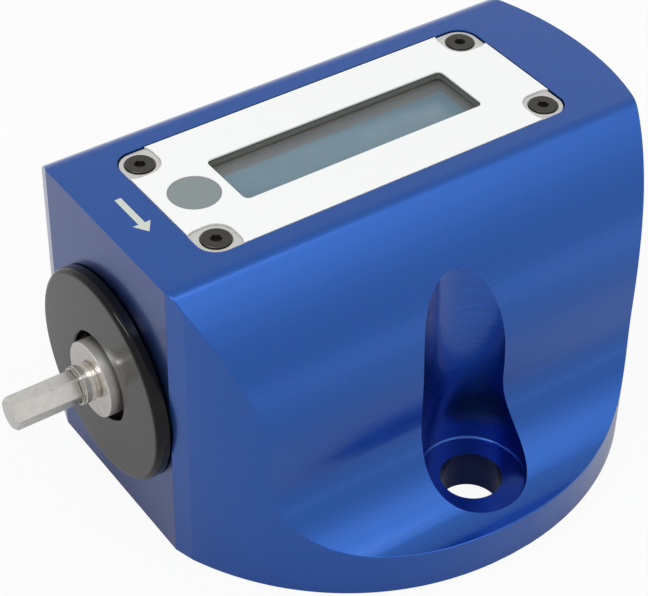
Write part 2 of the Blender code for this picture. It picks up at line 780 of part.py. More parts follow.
def build_panel_gasket():
    """Flat rubber frame on the recess ledge."""
    outer = (panel_length - 2 * GAP, panel_width - 2 * GAP)
    gasket = block("panel_gasket", (*outer, GASKET_THICKNESS),
                   (0.0, 0.0, gasket_top - GASKET_THICKNESS / 2), rubber_black(),
                   PANEL_CORNER - GAP)
    inner = (outer[0] - 2 * GASKET_WIDTH, outer[1] - 2 * GASKET_WIDTH, 2 * OVERSHOOT)
    boolean(gasket, block("gasket_opening", inner, (0.0, 0.0, gasket_top), None,
                          PANEL_CORNER - GAP - GASKET_WIDTH))


def build_cover_screws():
    """Four countersunk socket screws that hold the panel."""
    for number, (x, y) in enumerate(cover_screw_places(), 1):
        screw = turned("cover_screw_%d" % number, cover_screw_profile(), black_oxide(),
                       (x, y, 0.0), steps=SMALL_TURN + 4)
        boolean(screw, hex_cutter("cover_socket_%d" % number, COVER_SOCKET_WIDTH, cover_screw_top,
                                  COVER_SOCKET_DEPTH, (x, y)))


# Key

def build_key():
    """Grey key just below the film's face, over a snap dome and its printed circuit.

    Its own centre is its origin. It slides down its axis until the travel is used up.
    """
    cylinder("mode_key", KEY_RADIUS, -KEY_THICKNESS / 2, KEY_THICKNESS / 2, grey_key(),
             LARGE_TURN, (key_position, 0.0), base=key_top - KEY_THICKNESS / 2)
    cylinder("key_circuit", KEY_DOME_RADIUS + GAP, circuit_bottom, circuit_top, board_green(),
             MEDIUM_TURN, (key_position, 0.0))
    sphere = (KEY_DOME_RADIUS ** 2 + KEY_DOME_RISE ** 2) / (2 * KEY_DOME_RISE)
    spread = math.degrees(math.asin(KEY_DOME_RADIUS / sphere))
    centre = (0.0, dome_top - KEY_DOME_THICKNESS - sphere)
    outer = arc(centre, sphere + KEY_DOME_THICKNESS, 90.0, 90.0 - spread, 3)
    inner = arc(centre, sphere, 90.0 - spread, 90.0, 3)
    outer[0] = (0.0, outer[0][1])
    inner[-1] = (0.0, inner[-1][1])
    turned("key_dome", outer + inner, zinc_plate(), (key_position, 0.0, 0.0), steps=SMALL_TURN)


def build_key_tail():
    """Flat tail from the key's circuit, through the plate, to its socket on the main board."""
    x = key_position - TAIL_OFFSET
    top = circuit_bottom - BOND
    bottom = main_board_top + BOND + TAIL_PLUG_SIZE[2] + GAP
    block("key_tail", (TAIL_THICKNESS, TAIL_WIDTH, top - bottom), (x, 0.0, (top + bottom) / 2),
          gauge_foil())
    block("tail_socket", TAIL_PLUG_SIZE, (x, 0.0, main_board_top + BOND + TAIL_PLUG_SIZE[2] / 2),
          plug_white())


# Display module

def display_hole_places():
    """Centres of the display module's four fixing holes."""
    return corners(display_board_length - 2 * DISPLAY_HOLE_INSET,
                   display_board_width - 2 * DISPLAY_HOLE_INSET)


def build_display():
    """Pane, metal bezel, cell and board of the character display, below the plate."""
    pane = (WINDOW_LENGTH + 2 * PANE_MARGIN, WINDOW_WIDTH + 2 * PANE_MARGIN, PANE_THICKNESS)
    block("display_pane", pane, (WINDOW_OFFSET, 0.0, pane_top - PANE_THICKNESS / 2), clear_pane())
    bezel = block("display_bezel", (bezel_length, bezel_width, BEZEL_HEIGHT),
                  (0.0, 0.0, bezel_level - BEZEL_HEIGHT / 2), bezel_black(), BEZEL_WALL, 2)
    inner = (bezel_length - 2 * BEZEL_WALL, bezel_width - 2 * BEZEL_WALL, BEZEL_HEIGHT)
    boolean(bezel, block("bezel_inside", inner,
                         (0.0, 0.0, bezel_level - BEZEL_TOP - BEZEL_HEIGHT / 2)))
    boolean(bezel, window_tool("bezel_window", glass_top, bezel_level + OVERSHOOT))
    glass = (inner[0] - 2 * GAP, inner[1] - 2 * GAP, GLASS_THICKNESS)
    block("display_cell", glass, (0.0, 0.0, glass_top - GLASS_THICKNESS / 2), display_glass())
    light_top = glass_top - GLASS_THICKNESS - BOND
    light_bottom = display_board_top + BOND
    block("backlight", (glass[0], glass[1], light_top - light_bottom),
          (0.0, 0.0, (light_top + light_bottom) / 2), plug_white())
    board = block("display_board", (display_board_length, display_board_width, BOARD_THICKNESS),
                  (0.0, 0.0, display_board_top - BOARD_THICKNESS / 2), board_green())
    for number, place in enumerate(display_hole_places(), 1):
        boolean(board, cylinder("display_hole_%d" % number, SMALL_SHANK_RADIUS + GAP,
                                display_board_bottom - OVERSHOOT, display_board_top + OVERSHOOT,
                                None, SMALL_TURN, place))


def small_screw(name, place, seat, length, upward):
    """Small socket screw whose head bears on a seat level, pointing up or down."""
    sense = 1.0 if upward else -1.0
    bearing = -sense * GAP
    profile = [(0.0, sense * (length - GAP)), (SMALL_SHANK_RADIUS, sense * (length - GAP)),
               (SMALL_SHANK_RADIUS, bearing), (SMALL_HEAD_RADIUS, bearing),
               (SMALL_HEAD_RADIUS, bearing - sense * SMALL_HEAD_HEIGHT),
               (0.0, bearing - sense * SMALL_HEAD_HEIGHT)]
    screw = turned(name, profile, zinc_plate(), (*place, seat), steps=SMALL_TURN)
    end = seat + bearing - sense * SMALL_HEAD_HEIGHT
    reach = sorted((end - sense * OVERSHOOT, end + sense * SMALL_SOCKET_DEPTH))
    boolean(screw, cylinder(name + "_socket", SMALL_SOCKET_WIDTH / math.sqrt(3), reach[0],
                            reach[1], None, 6, place))


def build_display_fixings():
    """Tubular spacers under the plate, and the screws that pull the display up to them."""
    top = plate_bottom - GAP
    bottom = display_board_top + GAP
    bore = SMALL_SHANK_RADIUS + GAP
    for number, place in enumerate(display_hole_places(), 1):
        profile = [(bore, top), (SPACER_RADIUS, top), (SPACER_RADIUS, bottom), (bore, bottom)]
        turned("display_spacer_%d" % number, profile, brass(), (*place, 0.0), steps=SMALL_TURN,
               ring=True)
        small_screw("display_screw_%d" % number, place, display_board_bottom,
                    DISPLAY_SCREW_LENGTH, True)


# Main board

def board_hole_places():
    """Centres of the main board's four fixing holes."""
    places = corners(BOARD_HOLE_LENGTH, MAIN_BOARD_WIDTH - 2 * BOARD_HOLE_INSET)
    return [(x + board_hole_centre, y) for x, y in places]


def build_main_board():
    """Board with a narrow tongue that reaches under the key."""
    half = MAIN_BOARD_WIDTH / 2
    tongue = MAIN_BOARD_TONGUE / 2
    shoulder = -pocket_length / 2 + 2 * GAP
    points = [(main_board_start, -tongue), (shoulder, -tongue), (shoulder, -half),
              (main_board_end, -half), (main_board_end, half), (shoulder, half),
              (shoulder, tongue), (main_board_start, tongue)]
    board = outline_solid("main_board", points, BOARD_THICKNESS, board_green(),
                          (0.0, 0.0, (main_board_bottom + main_board_top) / 2))
    low = main_board_bottom - OVERSHOOT
    high = main_board_top + OVERSHOOT
    boolean(board, cylinder("board_lead_hole", LEAD_HOLE_RADIUS, low, high, None, SMALL_TURN,
                            (lead_hole_position, 0.0)))
    for number, place in enumerate(board_hole_places(), 1):
        boolean(board, cylinder("board_hole_%d" % number, SMALL_SHANK_RADIUS + GAP, low, high,
                                None, SMALL_TURN, place))


def build_board_fixings():
    """Spacers on the pocket floor and the screws that pass through them."""
    bore = SMALL_SHANK_RADIUS + GAP
    bottom = pocket_floor + GAP
    top = main_board_bottom - GAP
    for number, place in enumerate(board_hole_places(), 1):
        profile = [(bore, top), (STANDOFF_RADIUS, top), (STANDOFF_RADIUS, bottom), (bore, bottom)]
        turned("board_spacer_%d" % number, profile, brass(), (*place, 0.0), steps=SMALL_TURN,
               ring=True)
        small_screw("board_screw_%d" % number, place, main_board_top, BOARD_SCREW_LENGTH, False)


def on_board(name, size, place, finish):
    """Component that sits on the main board."""
    block(name, size, (*place, main_board_top + BOND + size[2] / 2), finish)


def build_board_parts():
    """Chips and sockets on the main board, and the header up to the display."""
    on_board("processor_chip", PROCESSOR_SIZE, processor_place, chip_black())
    on_board("amplifier_chip", AMPLIFIER_SIZE, amplifier_place, chip_black())
    on_board("gauge_socket", GAUGE_PLUG_SIZE, gauge_plug_place, plug_white())
    on_board("battery_socket", BATTERY_PLUG_SIZE, battery_plug_place, plug_white())
    rise = display_board_bottom - main_board_top - 2 * GAP
    block("display_header", (header_length, HEADER_WIDTH, rise),
          (*header_place, main_board_top + GAP + rise / 2), chip_black())


# Battery

def build_battery():
    """Block battery upright in its well, its two snaps and the clip over them."""
    length, width, height = BATTERY_SIZE
    bottom = well_floor + GAP
    top = bottom + height
    battery = block("battery", BATTERY_SIZE, (WELL_POSITION, 0.0, bottom + height / 2),
                    battery_jacket(), BATTERY_CORNER, 3)
    clip_bottom = top + GAP
    clip = block("battery_clip", CLIP_SIZE, (WELL_POSITION, 0.0, clip_bottom + CLIP_SIZE[2] / 2),
                 chip_black(), BATTERY_CORNER, 3)
    for number, side in enumerate((-1.0, 1.0), 1):
        place = (WELL_POSITION, side * TERMINAL_SPACING / 2)
        boolean(battery, cylinder("terminal_%d" % number, TERMINAL_RADIUS, top - OVERSHOOT,
                                  top + TERMINAL_HEIGHT, None, SMALL_TURN, place), "UNION")
        boolean(clip, cylinder("clip_snap_%d" % number, TERMINAL_RADIUS + GAP,
                               clip_bottom - OVERSHOOT, top + TERMINAL_HEIGHT + GAP, None,
                               SMALL_TURN, place))


def build_battery_leads():
    """Red and black leads from the clip to their socket on the main board."""
    start_x = WELL_POSITION - CLIP_SIZE[0] / 2 - GAP
    end_x = battery_plug_place[0] + BATTERY_PLUG_SIZE[0] / 2 + GAP
    start_z = well_floor + 2 * GAP + BATTERY_SIZE[2] + CLIP_SIZE[2] / 2
    end_z = main_board_top + BOND + BATTERY_PLUG_SIZE[2] / 2
    middle_x = (start_x + end_x) / 2
    for name, side, finish in (("battery_lead_red", 1.0, lead_red()),
                               ("battery_lead_black", -1.0, lead_black())):
        y = side * BATTERY_PLUG_SIZE[1] / 4
        lead(name, [(start_x, y, start_z), (middle_x, y, (start_z + end_z) / 2),
                    (end_x, y, end_z)], BATTERY_LEAD_RADIUS, finish)


# Drive shaft

def anchor_places():
    """Centres of the four anchor screws, across and above the shaft's axis."""
    angles = [math.radians(45.0 + 90.0 * i) for i in range(4)]
    return [(anchor_pitch * math.cos(a), anchor_pitch * math.sin(a))
            for a in angles]


def build_hex(shaft):
    """Hex drive: a six-sided bar kept inside a turned envelope that trims corners and end."""
    corner = HEX_WIDTH / math.sqrt(3)
    start = -HEX_REACH
    end = -NECK_REACH + OVERSHOOT
    bar = cylinder("hex_bar", corner, start - OVERSHOOT, end, None, 6, (front_x, 0.0),
                   (0.0, math.pi / 2, 0.0), SHAFT_HEIGHT, HEX_TURN)
    trimmed = hex_corner_radius
    envelope = [(0.0, start), (trimmed - HEX_END_CHAMFER, start),
                (trimmed, start + HEX_END_CHAMFER), (trimmed, end + OVERSHOOT),
                (0.0, end + OVERSHOOT)]
    boolean(bar, on_shaft("hex_envelope", envelope, steps=MEDIUM_TURN), "INTERSECT")
    boolean(shaft, bar, "UNION")


def build_shaft():
    """One turned and milled piece: hex, neck, collar, journal, torsion bar and anchor."""
    neck_end = -COLLAR_REACH - NECK_UNDERCUT_WIDTH
    shoulder = bearing_start - GAP
    relief = bearing_end + CIRCLIP_WIDTH + 3 * GAP
    fillet = TORSION_FILLET
    profile = [
        (0.0, -NECK_REACH),
        (NECK_RADIUS - COLLAR_CHAMFER, -NECK_REACH),
        (NECK_RADIUS, -NECK_REACH + COLLAR_CHAMFER),
        (NECK_RADIUS, neck_end),
        (NECK_UNDERCUT_RADIUS, neck_end),
        (NECK_UNDERCUT_RADIUS, -COLLAR_REACH),
        (COLLAR_RADIUS - COLLAR_CHAMFER, -COLLAR_REACH),
        (COLLAR_RADIUS, -COLLAR_REACH + COLLAR_CHAMFER),
        (COLLAR_RADIUS, shoulder),
        (journal_radius, shoulder),
        (journal_radius, relief),
        (journal_radius - COLLAR_CHAMFER, relief + COLLAR_CHAMFER),
        (journal_radius - COLLAR_CHAMFER, TORSION_START - fillet),
    ]
    profile += arc((TORSION_RADIUS + fillet, TORSION_START), fillet, 270.0, 180.0, 2)
    profile += arc((TORSION_RADIUS + fillet, torsion_end), fillet, 180.0, 90.0, 2)
    profile += [
        (hub_radius, torsion_end + fillet),
        (hub_radius, anchor_start),
        (anchor_radius, anchor_start),
        (anchor_radius, anchor_end),
        (0.0, anchor_end),
    ]
    shaft = on_shaft("torsion_shaft", profile, ground_steel(), MEDIUM_TURN)
    build_hex(shaft)
    for number, side in enumerate((-1.0, 1.0), 1):
        depth = TORSION_RADIUS
        height = SHAFT_HEIGHT + side * (GAUGE_FLAT_HEIGHT + depth / 2)
        boolean(shaft, block("gauge_flat_%d" % number,
                             (GAUGE_FLAT_LENGTH, 3 * TORSION_RADIUS, depth),
                             (front_x + gauge_centre, 0.0, height)))
    for number, place in enumerate(anchor_places(), 1):
        boolean(shaft, shaft_cylinder("anchor_hole_%d" % number, ANCHOR_SHANK_RADIUS + GAP,
                                      anchor_start - OVERSHOOT, anchor_end + OVERSHOOT,
                                      SMALL_TURN, place))


def build_stop_ring():
    """Thin ring round the hex where it leaves the neck."""
    end = -NECK_REACH - GAP
    start = end - STOP_RING_THICKNESS
    outer = stop_ring_inner + STOP_RING_WALL
    profile = [(stop_ring_inner, start), (outer, start), (outer, end), (stop_ring_inner, end)]
    on_shaft("stop_ring", profile, ground_steel(), MEDIUM_TURN, True)


def build_anchor_screws():
    """Four socket screws that hold the shaft's anchor to the bottom of the bore."""
    bearing = anchor_start - GAP
    front = bearing - ANCHOR_HEAD_HEIGHT
    tip = bearing + ANCHOR_SCREW_LENGTH
    profile = [(0.0, front), (ANCHOR_HEAD_RADIUS, front), (ANCHOR_HEAD_RADIUS, bearing),
               (ANCHOR_SHANK_RADIUS, bearing), (ANCHOR_SHANK_RADIUS, tip), (0.0, tip)]
    for number, (across, up) in enumerate(anchor_places(), 1):
        screw = turned("anchor_screw_%d" % number, profile, black_oxide(),
                       (front_x, across, SHAFT_HEIGHT + up), True, SMALL_TURN)
        boolean(screw, shaft_cylinder("anchor_socket_%d" % number,
                                      ANCHOR_SOCKET_WIDTH / math.sqrt(3), front - OVERSHOOT,
                                      front + ANCHOR_SOCKET_DEPTH, 6, (across, up)))


def build_gauges():
    """Foil gauges on the two flats of the torsion bar, and their lead up to the board."""
    length, width, thickness = GAUGE_SIZE
    centre_x = front_x + gauge_centre
    lift = GAUGE_FLAT_HEIGHT + BOND + thickness / 2
    for name, side in (("upper_gauge", 1.0), ("lower_gauge", -1.0)):
        block(name, GAUGE_SIZE, (centre_x, 0.0, SHAFT_HEIGHT + side * lift), gauge_foil())
    start_z = SHAFT_HEIGHT + GAUGE_FLAT_HEIGHT + thickness + LEAD_RADIUS + 2 * GAP
    clear_z = SHAFT_HEIGHT + TORSION_RADIUS + 3 * LEAD_RADIUS
    socket_z = main_board_top + BOND + GAUGE_PLUG_SIZE[2] / 2
    socket_x = gauge_plug_place[0] - GAUGE_PLUG_SIZE[0] / 2 - GAP
    hole_x = lead_hole_position
    bend = hole_x + LEAD_RADIUS
    rise = (pocket_floor - clear_z) / 2
    lead("gauge_lead", [
        (centre_x, 0.0, start_z),
        (centre_x + GAUGE_SIZE[0] / 2, 0.0, clear_z),
        (hole_x, 0.0, clear_z + rise),
        (hole_x, 0.0, pocket_floor),
        (hole_x, 0.0, main_board_top - LEAD_RADIUS),
        (bend, 0.0, socket_z - LEAD_RADIUS / 4),
        (socket_x, 0.0, socket_z),
    ], LEAD_RADIUS, lead_grey())


# Bearing and front cap

def ring_profile(inner, outer, groove_side):
    """Bearing ring section with a ball groove in its inner or outer face."""
    middle = (bearing_start + bearing_end) / 2
    groove = BALL_RADIUS + RUNNING_GAP
    face = outer if groove_side > 0 else inner
    reach = math.degrees(math.acos(abs(face - ball_circle) / groove))
    centre = (ball_circle, middle)
    if groove_side > 0:
        bend = arc(centre, groove, 180.0 + reach, 180.0 - reach, 4)
        return [(inner, bearing_start), (outer, bearing_start)] + bend + [
            (outer, bearing_end), (inner, bearing_end)]
    bend = arc(centre, groove, reach, -reach, 4)
    return [(inner, bearing_start), (outer, bearing_start), (outer, bearing_end),
            (inner, bearing_end)] + bend


def build_bearing():
    """Ball bearing in three pieces: both rings, and the balls in their cage."""
    on_shaft("bearing_inner_ring",
             ring_profile(BEARING_BORE_RADIUS, BEARING_BORE_RADIUS + BEARING_WALL, 1),
             bearing_steel(), MEDIUM_TURN, True)
    on_shaft("bearing_outer_ring",
             ring_profile(bearing_radius - BEARING_WALL, bearing_radius, -1),
             bearing_steel(), MEDIUM_TURN, True)
    middle = (bearing_start + bearing_end) / 2
    inner = ball_circle - CAGE_WALL / 2
    outer = ball_circle + CAGE_WALL / 2
    start = middle - CAGE_WIDTH / 2
    end = middle + CAGE_WIDTH / 2
    cage = on_shaft("ball_cage", [(inner, start), (outer, start), (outer, end), (inner, end)],
                    brass(), MEDIUM_TURN, True)
    bm = bmesh.new()
    for i in range(BALL_COUNT):
        angle = 2 * math.pi * (i + 0.5) / BALL_COUNT
        ball = bmesh.ops.create_uvsphere(bm, u_segments=8, v_segments=5, radius=BALL_RADIUS)
        bmesh.ops.translate(bm, verts=ball["verts"],
                            vec=(ball_circle * math.cos(angle), ball_circle * math.sin(angle),
                                 middle))
    balls = add_object("ball_set", finish_mesh(bm, "ball_set", True), None,
                       (front_x, 0.0, SHAFT_HEIGHT), (0.0, math.pi / 2, 0.0))
    boolean(cage, balls, "UNION")


def build_circlip():
    """Open snap ring in the cap's groove, behind the bearing's outer ring."""
    outer = bearing_radius + CIRCLIP_GRIP
    inner = outer - CIRCLIP_WALL
    start = bearing_end + GAP
    end = start + CIRCLIP_WIDTH
    clip = on_shaft("bearing_circlip",
                    [(inner, start), (outer, start), (outer, end), (inner, end)],
                    black_oxide(), MEDIUM_TURN, True)
    boolean(clip, block("circlip_opening", (4 * CIRCLIP_WIDTH, CIRCLIP_OPENING, 3 * CIRCLIP_WALL),
                        (front_x + start, 0.0, SHAFT_HEIGHT - outer + CIRCLIP_WALL / 2)))


def build_front_cap():
    """Black turned cap: rounded flange on the block's face, and a spigot round the bearing."""
    rear = -GAP
    face = rear - CAP_THICKNESS
    seat = bearing_radius + GAP
    groove = bearing_radius + CIRCLIP_GRIP + GAP
    groove_start = bearing_end
    groove_end = bearing_end + CIRCLIP_WIDTH + 2 * GAP
    ring_floor = spigot_radius + GAP - 2 * O_RING_SECTION - 2 * O_RING_SQUEEZE
    ring_half = O_RING_SECTION + GAP
    profile = [(cap_hole_radius, face)]
    profile += arc((cap_radius - CAP_EDGE_RADIUS, face + CAP_EDGE_RADIUS), CAP_EDGE_RADIUS,
                   -90.0, 0.0, 3)
    profile += [
        (cap_radius, rear),
        (spigot_radius, rear),
        (spigot_radius, O_RING_POSITION - ring_half),
        (ring_floor, O_RING_POSITION - ring_half),
        (ring_floor, O_RING_POSITION + ring_half),
        (spigot_radius, O_RING_POSITION + ring_half),
        (spigot_radius, spigot_length),
        (seat, spigot_length),
        (seat, groove_end),
        (groove, groove_end),
        (groove, groove_start),
        (seat, groove_start),
        (seat, bearing_start - GAP),
        (cap_hole_radius, bearing_start - GAP),
    ]
    on_shaft("front_cap", profile, black_anodised(), LARGE_TURN, True)
    centre = (spigot_radius + GAP - O_RING_SQUEEZE - O_RING_SECTION, O_RING_POSITION)
    on_shaft("cap_o_ring", arc(centre, O_RING_SECTION, 0.0, 300.0, 5), rubber_black(), MEDIUM_TURN,
             True)


def build():
    """Put the tester together from the block outward."""
    build_housing()
    build_shaft()
    build_stop_ring()
    build_anchor_screws()
    build_gauges()
    build_bearing()
    build_circlip()
    build_front_cap()
    build_main_board()
    build_board_fixings()
    build_board_parts()
    build_battery()
    build_battery_leads()
    build_display()
    build_display_fixings()
    build_panel_gasket()
    build_cover_plate()
    build_key()
    build_key_tail()
    build_overlay_film()
    build_cover_screws()


clear_scene()
parts = new_collection("torque_tester")
cutters = new_collection("cutters", True)
build()
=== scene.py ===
"""Bench torque tester: a blue anodised block, its hex drive, its bearing cap and its display panel."""
import json
import math

import bmesh
import bpy
from mathutils import Matrix, Vector

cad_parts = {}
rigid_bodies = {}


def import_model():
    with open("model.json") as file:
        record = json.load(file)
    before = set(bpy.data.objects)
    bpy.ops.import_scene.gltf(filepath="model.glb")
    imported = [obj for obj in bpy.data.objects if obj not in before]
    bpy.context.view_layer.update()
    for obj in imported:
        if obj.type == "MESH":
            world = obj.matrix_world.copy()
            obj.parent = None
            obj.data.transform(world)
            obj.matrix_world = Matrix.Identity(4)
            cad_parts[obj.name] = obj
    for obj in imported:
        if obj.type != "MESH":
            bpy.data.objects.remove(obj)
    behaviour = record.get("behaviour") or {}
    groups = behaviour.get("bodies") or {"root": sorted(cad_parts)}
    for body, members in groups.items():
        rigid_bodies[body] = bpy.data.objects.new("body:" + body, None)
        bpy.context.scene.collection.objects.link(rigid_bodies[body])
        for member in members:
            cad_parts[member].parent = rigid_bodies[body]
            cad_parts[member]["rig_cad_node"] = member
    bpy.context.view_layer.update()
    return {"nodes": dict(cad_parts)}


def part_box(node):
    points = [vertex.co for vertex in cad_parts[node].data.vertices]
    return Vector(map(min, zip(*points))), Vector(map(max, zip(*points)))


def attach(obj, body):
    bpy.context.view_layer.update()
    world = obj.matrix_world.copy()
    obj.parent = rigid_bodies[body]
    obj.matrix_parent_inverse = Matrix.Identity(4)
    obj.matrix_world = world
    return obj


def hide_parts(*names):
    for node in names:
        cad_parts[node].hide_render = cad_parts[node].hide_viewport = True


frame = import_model()

# Housing
# One block of aluminium: sawn, milled to a D-shaped plan with a crowned top and hollow sweeps down
# to the flange, bored from the front, pocketed from above, bead blasted and anodised blue.

MM = 0.001
weld = 0.001 * MM
low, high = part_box("housing")
front = low.x
round_end = high.x
half_width = high.y
top = high.z
front_half = 25.5 * MM
corner_half = 30.3 * MM
corner_depth = 1.5 * MM
plan_power = 2.05
flange = 10.9 * MM
sweep = 21.25 * MM
sweep_top = flange + sweep
waist = 47.1 * MM
crown = 52.3 * MM
crown_level = top - 41.3 * MM
crown_turn = math.radians(49.6)
shoulder = 6.0 * MM
edge_round = 0.22 * MM
shaft_level = (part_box("torsion_shaft")[0].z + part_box("torsion_shaft")[1].z) / 2
shaft_axis = (0.0, shaft_level)
shoulder_run = math.sqrt((crown - shoulder) ** 2 - (top - shoulder - crown_level) ** 2)
top_edge = waist - crown + shoulder_run
shoulder_end = waist - crown + shoulder_run * crown / (crown - shoulder)
corner_share = (corner_half / half_width) ** plan_power
front_reach = (-front - corner_depth) / (1 - corner_share) ** (1 / plan_power)


def mm(*lengths):
    """A point in metres from its lengths in millimetres."""
    return tuple(length * MM for length in lengths)


def height_at(across):
    """Height of the block at a distance from its centre line."""
    across = abs(across)
    if across <= top_edge:
        return top
    if across <= shoulder_end:
        return top - shoulder + math.sqrt(shoulder ** 2 - (across - top_edge) ** 2)
    if across <= waist:
        return crown_level + math.sqrt(max(0.0, crown ** 2 - (across - waist + crown) ** 2))
    if across < waist + sweep:
        return sweep_top - math.sqrt(sweep ** 2 - (waist + sweep - across) ** 2)
    return flange


def reach_at(across, reach):
    """Half length of the rounded plan at a distance from its centre line."""
    return reach * max(0.0, 1 - (abs(across) / half_width) ** plan_power) ** (1 / plan_power)


def front_at(across):
    """Place of the flat front, its corner strips and the sweep behind them."""
    across = abs(across)
    if across <= front_half:
        return front
    if across <= corner_half:
        return front + corner_depth * (across - front_half) / (corner_half - front_half)
    return -reach_at(across, front_reach)


def flank_places():
    """Distances from the centre line at which the block's section is drawn."""
    wanted = [0.0, top_edge, front_half, shoulder_end, corner_half, waist, waist + sweep, half_width]
    least_step = 0.15 * MM
    steps = 30
    others = []
    for i in range(steps):
        share = (i + 0.5) / steps
        others.append(top_edge + (shoulder_end - top_edge) * share)
        others.append(waist - crown + crown * math.cos(crown_turn * share))
        others.append(waist + sweep * (1 - math.cos(math.pi / 2 * share)))
        others.append(half_width * math.sin(math.pi / 2 * share) ** (2 / plan_power))
    for place in others:
        if min(abs(place - kept) for kept in wanted) > least_step:
            wanted.append(place)
    return sorted(wanted)


def add_piece(name, shape, smooth=30.0):
    """Make an object of a bmesh, with every edge sharper than an angle kept crisp."""
    mesh = bpy.data.meshes.new(name)
    shape.to_mesh(mesh)
    shape.free()
    mesh.shade_smooth()
    mesh.set_sharp_from_angle(angle=math.radians(smooth))
    piece = bpy.data.objects.new(name, mesh)
    bpy.context.scene.collection.objects.link(piece)
    return piece


def carve(piece, tools, operation="DIFFERENCE"):
    """Cut the tools out of a piece, join them on or keep what they cover, then drop the tools."""
    for tool in tools:
        step = piece.modifiers.new(tool.name, "BOOLEAN")
        step.operation = operation
        step.solver = "EXACT"
        step.object = tool
    bpy.context.view_layer.update()
    carved = piece.evaluated_get(bpy.context.evaluated_depsgraph_get())
    shaped = bpy.data.meshes.new_from_object(carved)
    piece.modifiers.clear()
    piece.data = shaped
    shape = bmesh.new()
    shape.from_mesh(shaped)
    bmesh.ops.dissolve_degenerate(shape, dist=0.01 * weld, edges=shape.edges)
    shape.to_mesh(shaped)
    shape.free()
    shaped.shade_smooth()
    shaped.set_sharp_from_angle(angle=math.radians(20.0))
    for tool in tools:
        bpy.data.objects.remove(tool)


def even_shading(piece):
    """Let the large faces of a piece lead its shading, so that they look flat up to their edges."""
    step = piece.modifiers.new("even_shading", "WEIGHTED_NORMAL")
    step.keep_sharp = True


def bar(name, radius, start, end, place=(0.0, 0.0), steps=96, along_x=False, turn=0.0, edge=0.0):
    """Round or six-sided bar, upright or along the shaft, with its lower or front edge rounded."""
    shape = bmesh.new()
    bmesh.ops.create_cone(shape, cap_ends=True, segments=steps, radius1=radius, radius2=radius,
                          depth=end - start, matrix=Matrix.Rotation(turn, 4, "Z"))
    bmesh.ops.translate(shape, verts=shape.verts, vec=(0.0, 0.0, (start + end) / 2))
    if edge > 0.0:
        rim = [e for e in shape.edges if all(abs(v.co.z - start) < 0.01 * MM for v in e.verts)]
        bmesh.ops.bevel(shape, geom=rim, offset=edge, segments=5, profile=0.5, material=-1,
                        affect="EDGES")
    if along_x:
        bmesh.ops.rotate(shape, verts=shape.verts, matrix=Matrix.Rotation(math.pi / 2, 3, "Y"))
        bmesh.ops.translate(shape, verts=shape.verts, vec=(0.0, place[0], place[1]))
    else:
        bmesh.ops.translate(shape, verts=shape.verts, vec=(place[0], place[1], 0.0))
    return add_piece(name, shape)


def slab(name, low_corner, high_corner, corner=0.0, steps=12, edge=0.0):
    """Box with its upright edges rounded, and its top edge broken by a small round."""
    shape = bmesh.new()
    bmesh.ops.create_cube(shape, size=1.0)
    size = Vector(high_corner) - Vector(low_corner)
    bmesh.ops.scale(shape, vec=size, verts=shape.verts)
    bmesh.ops.translate(shape, verts=shape.verts, vec=(Vector(low_corner) + Vector(high_corner)) / 2)
    if corner > 0.0:
        upright = [e for e in shape.edges if abs(e.verts[0].co.z - e.verts[1].co.z) > size.z / 2]
        bmesh.ops.bevel(shape, geom=upright, offset=corner, segments=steps, profile=0.5, material=-1,
                        affect="EDGES")
    if edge > 0.0:
        rim = [e for e in shape.edges if all(v.co.z > high_corner[2] - weld for v in e.verts)]
        bmesh.ops.bevel(shape, geom=rim, offset=edge, segments=2, profile=0.5, material=-1,
                        affect="EDGES")
    return add_piece(name, shape)


class Signal:
    """An output socket of a node, so that shader maths reads as arithmetic."""

    def __init__(self, nodes, socket):
        self.nodes = nodes
        self.socket = socket

    def maths(self, operation, first, second):
        """Work out one sum in the node tree that the socket belongs to."""
        return self.nodes.maths(operation, first, second)

    def __add__(self, other):
        return self.maths("ADD", self, other)

    __radd__ = __add__

    def __sub__(self, other):
        return self.maths("SUBTRACT", self, other)

    def __rsub__(self, other):
        return self.maths("SUBTRACT", other, self)

    def __mul__(self, other):
        return self.maths("MULTIPLY", self, other)

    __rmul__ = __mul__

    def __lt__(self, other):
        return self.maths("LESS_THAN", self, other)

    def __gt__(self, other):
        return self.maths("GREATER_THAN", self, other)

    def __abs__(self):
        return self.maths("ABSOLUTE", self, 0.0)


class Nodes:
    """The node tree of one shader, to which nodes are added one at a time."""

    def __init__(self, tree, shader):
        self.tree = tree
        self.shader = tree.nodes[shader]

    def join(self, socket, value):
        """Link a signal into a socket, or set the socket to a value."""
        if isinstance(value, Signal):
            self.tree.links.new(value.socket, socket)
        else:
            socket.default_value = value

    def feed(self, socket, value):
        """Drive one of the shader's own sockets."""
        self.join(self.shader.inputs[socket], value)

    def node(self, kind, settings=None, sockets=None, output=0):
        """Add a node: its settings first, then the values or links of its sockets."""
        made = self.tree.nodes.new("ShaderNode" + kind)
        for name, value in (settings or {}).items():
            setattr(made, name, value)
        for key, value in (sockets or {}).items():
            self.join(made.inputs[key], value)
        return Signal(self, made.outputs[output])

    def maths(self, operation, first, second):
        """Work out one sum on signals or plain values."""
        return self.node("Math", {"operation": operation}, {0: first, 1: second})


